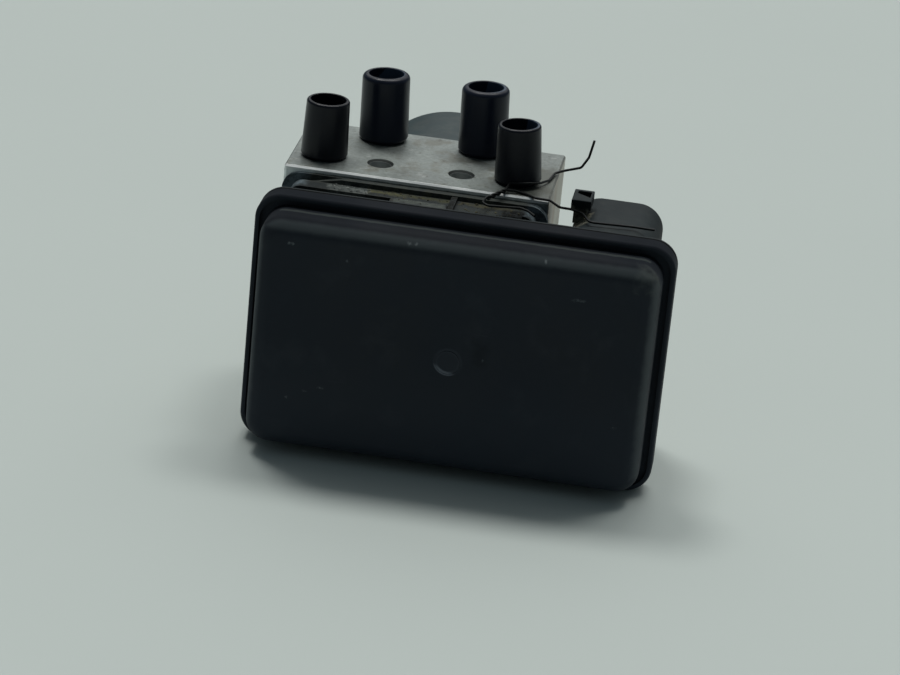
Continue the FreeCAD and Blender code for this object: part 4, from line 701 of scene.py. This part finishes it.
class ABS_OT_caps(bpy.types.Operator):
    """Finishes the port caps"""
    bl_idname = "abs_module.caps"
    bl_label = "Port caps"

    def execute(self, context):
        small = plastic("small_cap_plastic", tuple(colours().cap), 0.32, 0.02, specular=0.22)
        large = plastic("large_cap_plastic", shade(colours().cap, 2.3), 0.34, 0.02, specular=0.24)
        for made, node in ((small, "small_port_caps"), (large, "large_port_caps")):
            painted_light_bores(made, node)
            give(made, node)
        return {"FINISHED"}


class ABS_OT_motor(bpy.types.Operator):
    """Finishes the motor, inside and out"""
    bl_idname = "abs_module.motor"
    bl_label = "Motor"

    def execute(self, context):
        give(plastic("can_steel", tuple(colours().can), 0.45, 0.15, specular=0.2, grain=1400.0),
             "motor_can")
        give(metal("bearing_steel", linear(196, 198, 200), 0.28),
             "front_bearing", "rear_bearing", "eccentric_ring")
        give(plastic("magnet_ferrite", linear(48, 48, 50), 0.7, 0.0, grain=900.0), "motor_magnets")
        give(plastic("holder_plastic", linear(160, 150, 124), 0.5, 0.0), "brush_holder")
        give(plastic("carbon", linear(36, 36, 38), 0.55, 0.0, grain=1200.0), "carbon_brushes")
        give(metal("shaft_steel", linear(188, 190, 192), 0.25), "motor_shaft", "pump_eccentric")
        give(metal("lamination_steel", linear(110, 110, 114), 0.4, (300.0, 4000.0, 300.0)),
             "armature_core")
        give(winding_finish(), "armature_windings")
        give(metal("commutator_copper", linear(206, 134, 86), 0.3), "commutator")
        return {"FINISHED"}


class ABS_OT_hydraulics(bpy.types.Operator):
    """Finishes valves, coils, pistons, stoppers, screws and leads"""
    bl_idname = "abs_module.hydraulics"
    bl_label = "Hydraulic pieces"

    def execute(self, context):
        give(metal("valve_steel", linear(176, 178, 178), 0.32),
             "inlet_valves", "outlet_valves", "pump_stoppers", "accumulator_caps")
        give(metal("coil_case", linear(118, 122, 128), 0.4), "solenoid_coils")
        give(metal("piston_steel", linear(192, 194, 198), 0.2),
             "left_pump_piston", "right_pump_piston", "left_accumulator_piston", "right_accumulator_piston")
        give(metal("screw_steel", linear(168, 166, 156), 0.38), "housing_screws", "motor_screws")
        give(metal("contact_tin", linear(198, 196, 188), 0.3), "connector_pins", "motor_leads")
        give(plastic("sleeve_plastic", linear(40, 40, 42), 0.5, 0.0), "lead_sleeve")
        return {"FINISHED"}


class ABS_OT_springs(bpy.types.Operator):
    """Makes smooth coil copies of the pump and accumulator springs in place of the CAD ones, and finishes
    the brush springs
    """
    bl_idname = "abs_module.springs"
    bl_label = "Springs"

    def execute(self, context):
        made = metal("spring_steel", linear(150, 152, 154), 0.3)
        give(made, "brush_springs")
        for name, axis, end, stroke in SPRINGS:
            node = f"{name}_spring"
            mesh = bmesh.new()
            mesh.from_mesh(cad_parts[node].data)
            bmesh.ops.remove_doubles(mesh, verts=mesh.verts, dist=0.000001)
            for face in mesh.faces:
                face.smooth = True
            coil = mesh_object(f"{name}_coil", mesh, made)
            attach(coil, "module")
            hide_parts(node)
            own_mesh(coil)
        return {"FINISHED"}


class ABS_OT_board(bpy.types.Operator):
    """Finishes the circuit board and its parts"""
    bl_idname = "abs_module.board"
    bl_label = "Circuit board"

    def execute(self, context):
        give(board_finish(), "circuit_board")
        give(plastic("chip_epoxy", linear(38, 38, 42), 0.45, 0.0), "processor", "driver_chips")
        give(metal("capacitor_can", linear(204, 204, 206), 0.28), "filter_capacitors")
        give(plastic("choke_ferrite", linear(60, 60, 64), 0.55, 0.0), "power_choke")
        return {"FINISHED"}


class ABS_OT_dirt(bpy.types.Operator):
    """Scatters crumbs of dirt in the housing's channel and at the latch boss"""
    bl_idname = "abs_module.dirt"
    bl_label = "Dirt crumbs"

    def execute(self, context):
        made, tree, shader = new_finish("dirt", roughness=0.95, specular=0.1)
        where = spot(tree)
        tone = tree.ramp(tree.noise(where, 260.0, 3.0), 0.35, 0.65)
        brown = tree.mix(tone, four(linear(40, 38, 31)), four(linear(92, 90, 72)))
        grey = tree.mix(tone, four(linear(70, 74, 72)), four(linear(138, 142, 138)))
        left = tree.ramp(split(tree, where)[0], -0.0290, -0.0340)
        tree.feed(tree.mix(left, brown, grey), shader.inputs["Base Color"])
        bump(tree, shader, tree.noise(where, 3000.0, 3.0), 0.0001, 0.7)
        chance = random.Random(CRUMB_SEED)
        mesh = bmesh.new()
        for low, high, level, count in CRUMBS:
            for _ in range(count):
                size = sizes().crumb / 2 * (LEAST_CRUMB + (1 - LEAST_CRUMB) * chance.random() ** 2)
                place = (chance.uniform(low[0], high[0]), chance.uniform(low[1], high[1]),
                         level + size * CRUMB_LIFT)
                turn = Matrix.Rotation(chance.uniform(0, 6.28), 4, "Z") @ Matrix.Diagonal(
                    (1.0, chance.uniform(0.5, 0.9), chance.uniform(0.3, 0.6), 1.0))
                lump = bmesh.ops.create_icosphere(mesh, subdivisions=2, radius=size,
                                                  matrix=Matrix.Translation(place) @ turn)
                for corner in lump["verts"]:
                    corner.co += Vector([chance.uniform(-UNEVEN, UNEVEN) * size for _ in range(3)])
        piece = mesh_object("dirt_crumbs", mesh, made)
        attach(piece, "module")
        return {"FINISHED"}


class ABS_OT_wire(bpy.types.Operator):
    """Finishes the thin tie wire"""
    bl_idname = "abs_module.wire"
    bl_label = "Tie wire"

    def execute(self, context):
        give(metal("wire_steel", linear(36, 38, 38), 0.5), "tie_wire")
        return {"FINISHED"}


class ABS_OT_stage(bpy.types.Operator):
    """Sets the floor, the light and the camera"""
    bl_idname = "abs_module.stage"
    bl_label = "Stage"

    def execute(self, context):
        floor_piece()
        lights()
        camera()
        context.scene.view_settings.view_transform = "Standard"
        return {"FINISHED"}


def mesh_object(name, mesh, made):
    """A new object from a bmesh, which is freed, with one finish."""
    data = bpy.data.meshes.new(name)
    mesh.to_mesh(data)
    mesh.free()
    data.materials.append(made)
    piece = bpy.data.objects.new(name, data)
    bpy.context.scene.collection.objects.link(piece)
    return piece


def floor_piece():
    """A pale floor a hair under the part, with a faint drift of tone."""
    made, tree, shader = new_finish("floor_paint", roughness=0.9, specular=0.1)
    paint = colours().floor
    base = tree.mix(tree.noise(spot(tree), 9.0, 3.0), four(shade(paint, 0.985)), four(shade(paint, 1.01)))
    tree.feed(base, shader.inputs["Base Color"])
    mesh = bmesh.new()
    bmesh.ops.create_grid(mesh, x_segments=1, y_segments=1, size=sizes().floor_size / 2)
    bmesh.ops.translate(mesh, verts=mesh.verts, vec=Vector((0, 0, -FLOOR_DROP)))
    mesh_object("floor", mesh, made)


def lights():
    """A faint sky and the lamps."""
    world = bpy.data.worlds.new("sky")
    world.use_nodes = True
    tree = Tree(world.node_tree)
    world.node_tree.nodes.clear()
    back = tree.node("ShaderNodeBackground", {"Color": SKY_COLOUR, "Strength": SKY_STRENGTH})
    tree.node("ShaderNodeOutputWorld", {"Surface": back.outputs[0]})
    bpy.context.scene.world = world
    for name, energy, width, direction in LAMPS:
        data = bpy.data.lights.new(name, "SUN")
        data.energy = energy
        data.angle = math.radians(width)
        data.color = LAMP_COLOUR
        lamp = bpy.data.objects.new(name, data)
        lamp.rotation_euler = Vector(direction).to_track_quat("-Z", "Y").to_euler()
        bpy.context.scene.collection.objects.link(lamp)


def camera():
    """Stands where the photograph was taken from, rolled a little clockwise."""
    turn = math.radians(CAMERA_TURN)
    rise = math.radians(CAMERA_RISE)
    roll = math.radians(CAMERA_ROLL)
    back = Vector((math.sin(turn) * math.cos(rise), -math.cos(turn) * math.cos(rise), math.sin(rise)))
    right = Vector((math.cos(turn), math.sin(turn), 0))
    up = back.cross(right)
    across = right * math.cos(roll) + up * math.sin(roll)
    upward = up * math.cos(roll) - right * math.sin(roll)
    data = bpy.data.cameras.new("camera")
    data.lens = sizes().lens
    data.sensor_width = SENSOR_WIDTH
    data.clip_start, data.clip_end = 0.05, 20.0
    piece = bpy.data.objects.new("camera", data)
    place = Matrix((across, upward, back)).transposed().to_4x4()
    place.translation = Vector(CAMERA_AIM) + back * CAMERA_AWAY
    piece.matrix_world = place
    bpy.context.scene.collection.objects.link(piece)
    bpy.context.scene.camera = piece


class ABS_PT_panel(bpy.types.Panel):
    """Lists the pieces and what can be changed"""
    bl_label = "ABS brake module"
    bl_idname = "ABS_PT_panel"
    bl_space_type = "VIEW_3D"
    bl_region_type = "UI"
    bl_category = "ABS module"

    def draw(self, context):
        for group in (context.scene.abs_sizes, context.scene.abs_colours):
            for name in group.__annotations__:
                self.layout.prop(group, name)
        for operator in OPERATORS:
            self.layout.operator(operator.bl_idname)


OPERATORS = [ABS_OT_groups, ABS_OT_controller, ABS_OT_block, ABS_OT_caps, ABS_OT_motor, ABS_OT_hydraulics,
             ABS_OT_springs, ABS_OT_board, ABS_OT_dirt, ABS_OT_wire, ABS_OT_stage]
CLASSES = [AbsSizes, AbsColours, *OPERATORS, ABS_PT_panel]


def register():
    for item in CLASSES:
        bpy.utils.register_class(item)
    bpy.types.Scene.abs_sizes = PointerProperty(type=AbsSizes)
    bpy.types.Scene.abs_colours = PointerProperty(type=AbsColours)


def unregister():
    del bpy.types.Scene.abs_colours
    del bpy.types.Scene.abs_sizes
    for item in reversed(CLASSES):
        bpy.utils.unregister_class(item)


def main():
    register()
    bpy.ops.abs_module.groups()
    bpy.ops.abs_module.controller()
    bpy.ops.abs_module.block()
    bpy.ops.abs_module.caps()
    bpy.ops.abs_module.motor()
    bpy.ops.abs_module.hydraulics()
    bpy.ops.abs_module.springs()
    bpy.ops.abs_module.board()
    bpy.ops.abs_module.dirt()
    bpy.ops.abs_module.wire()
    bpy.ops.abs_module.stage()


if __name__ == "__main__":
    main()
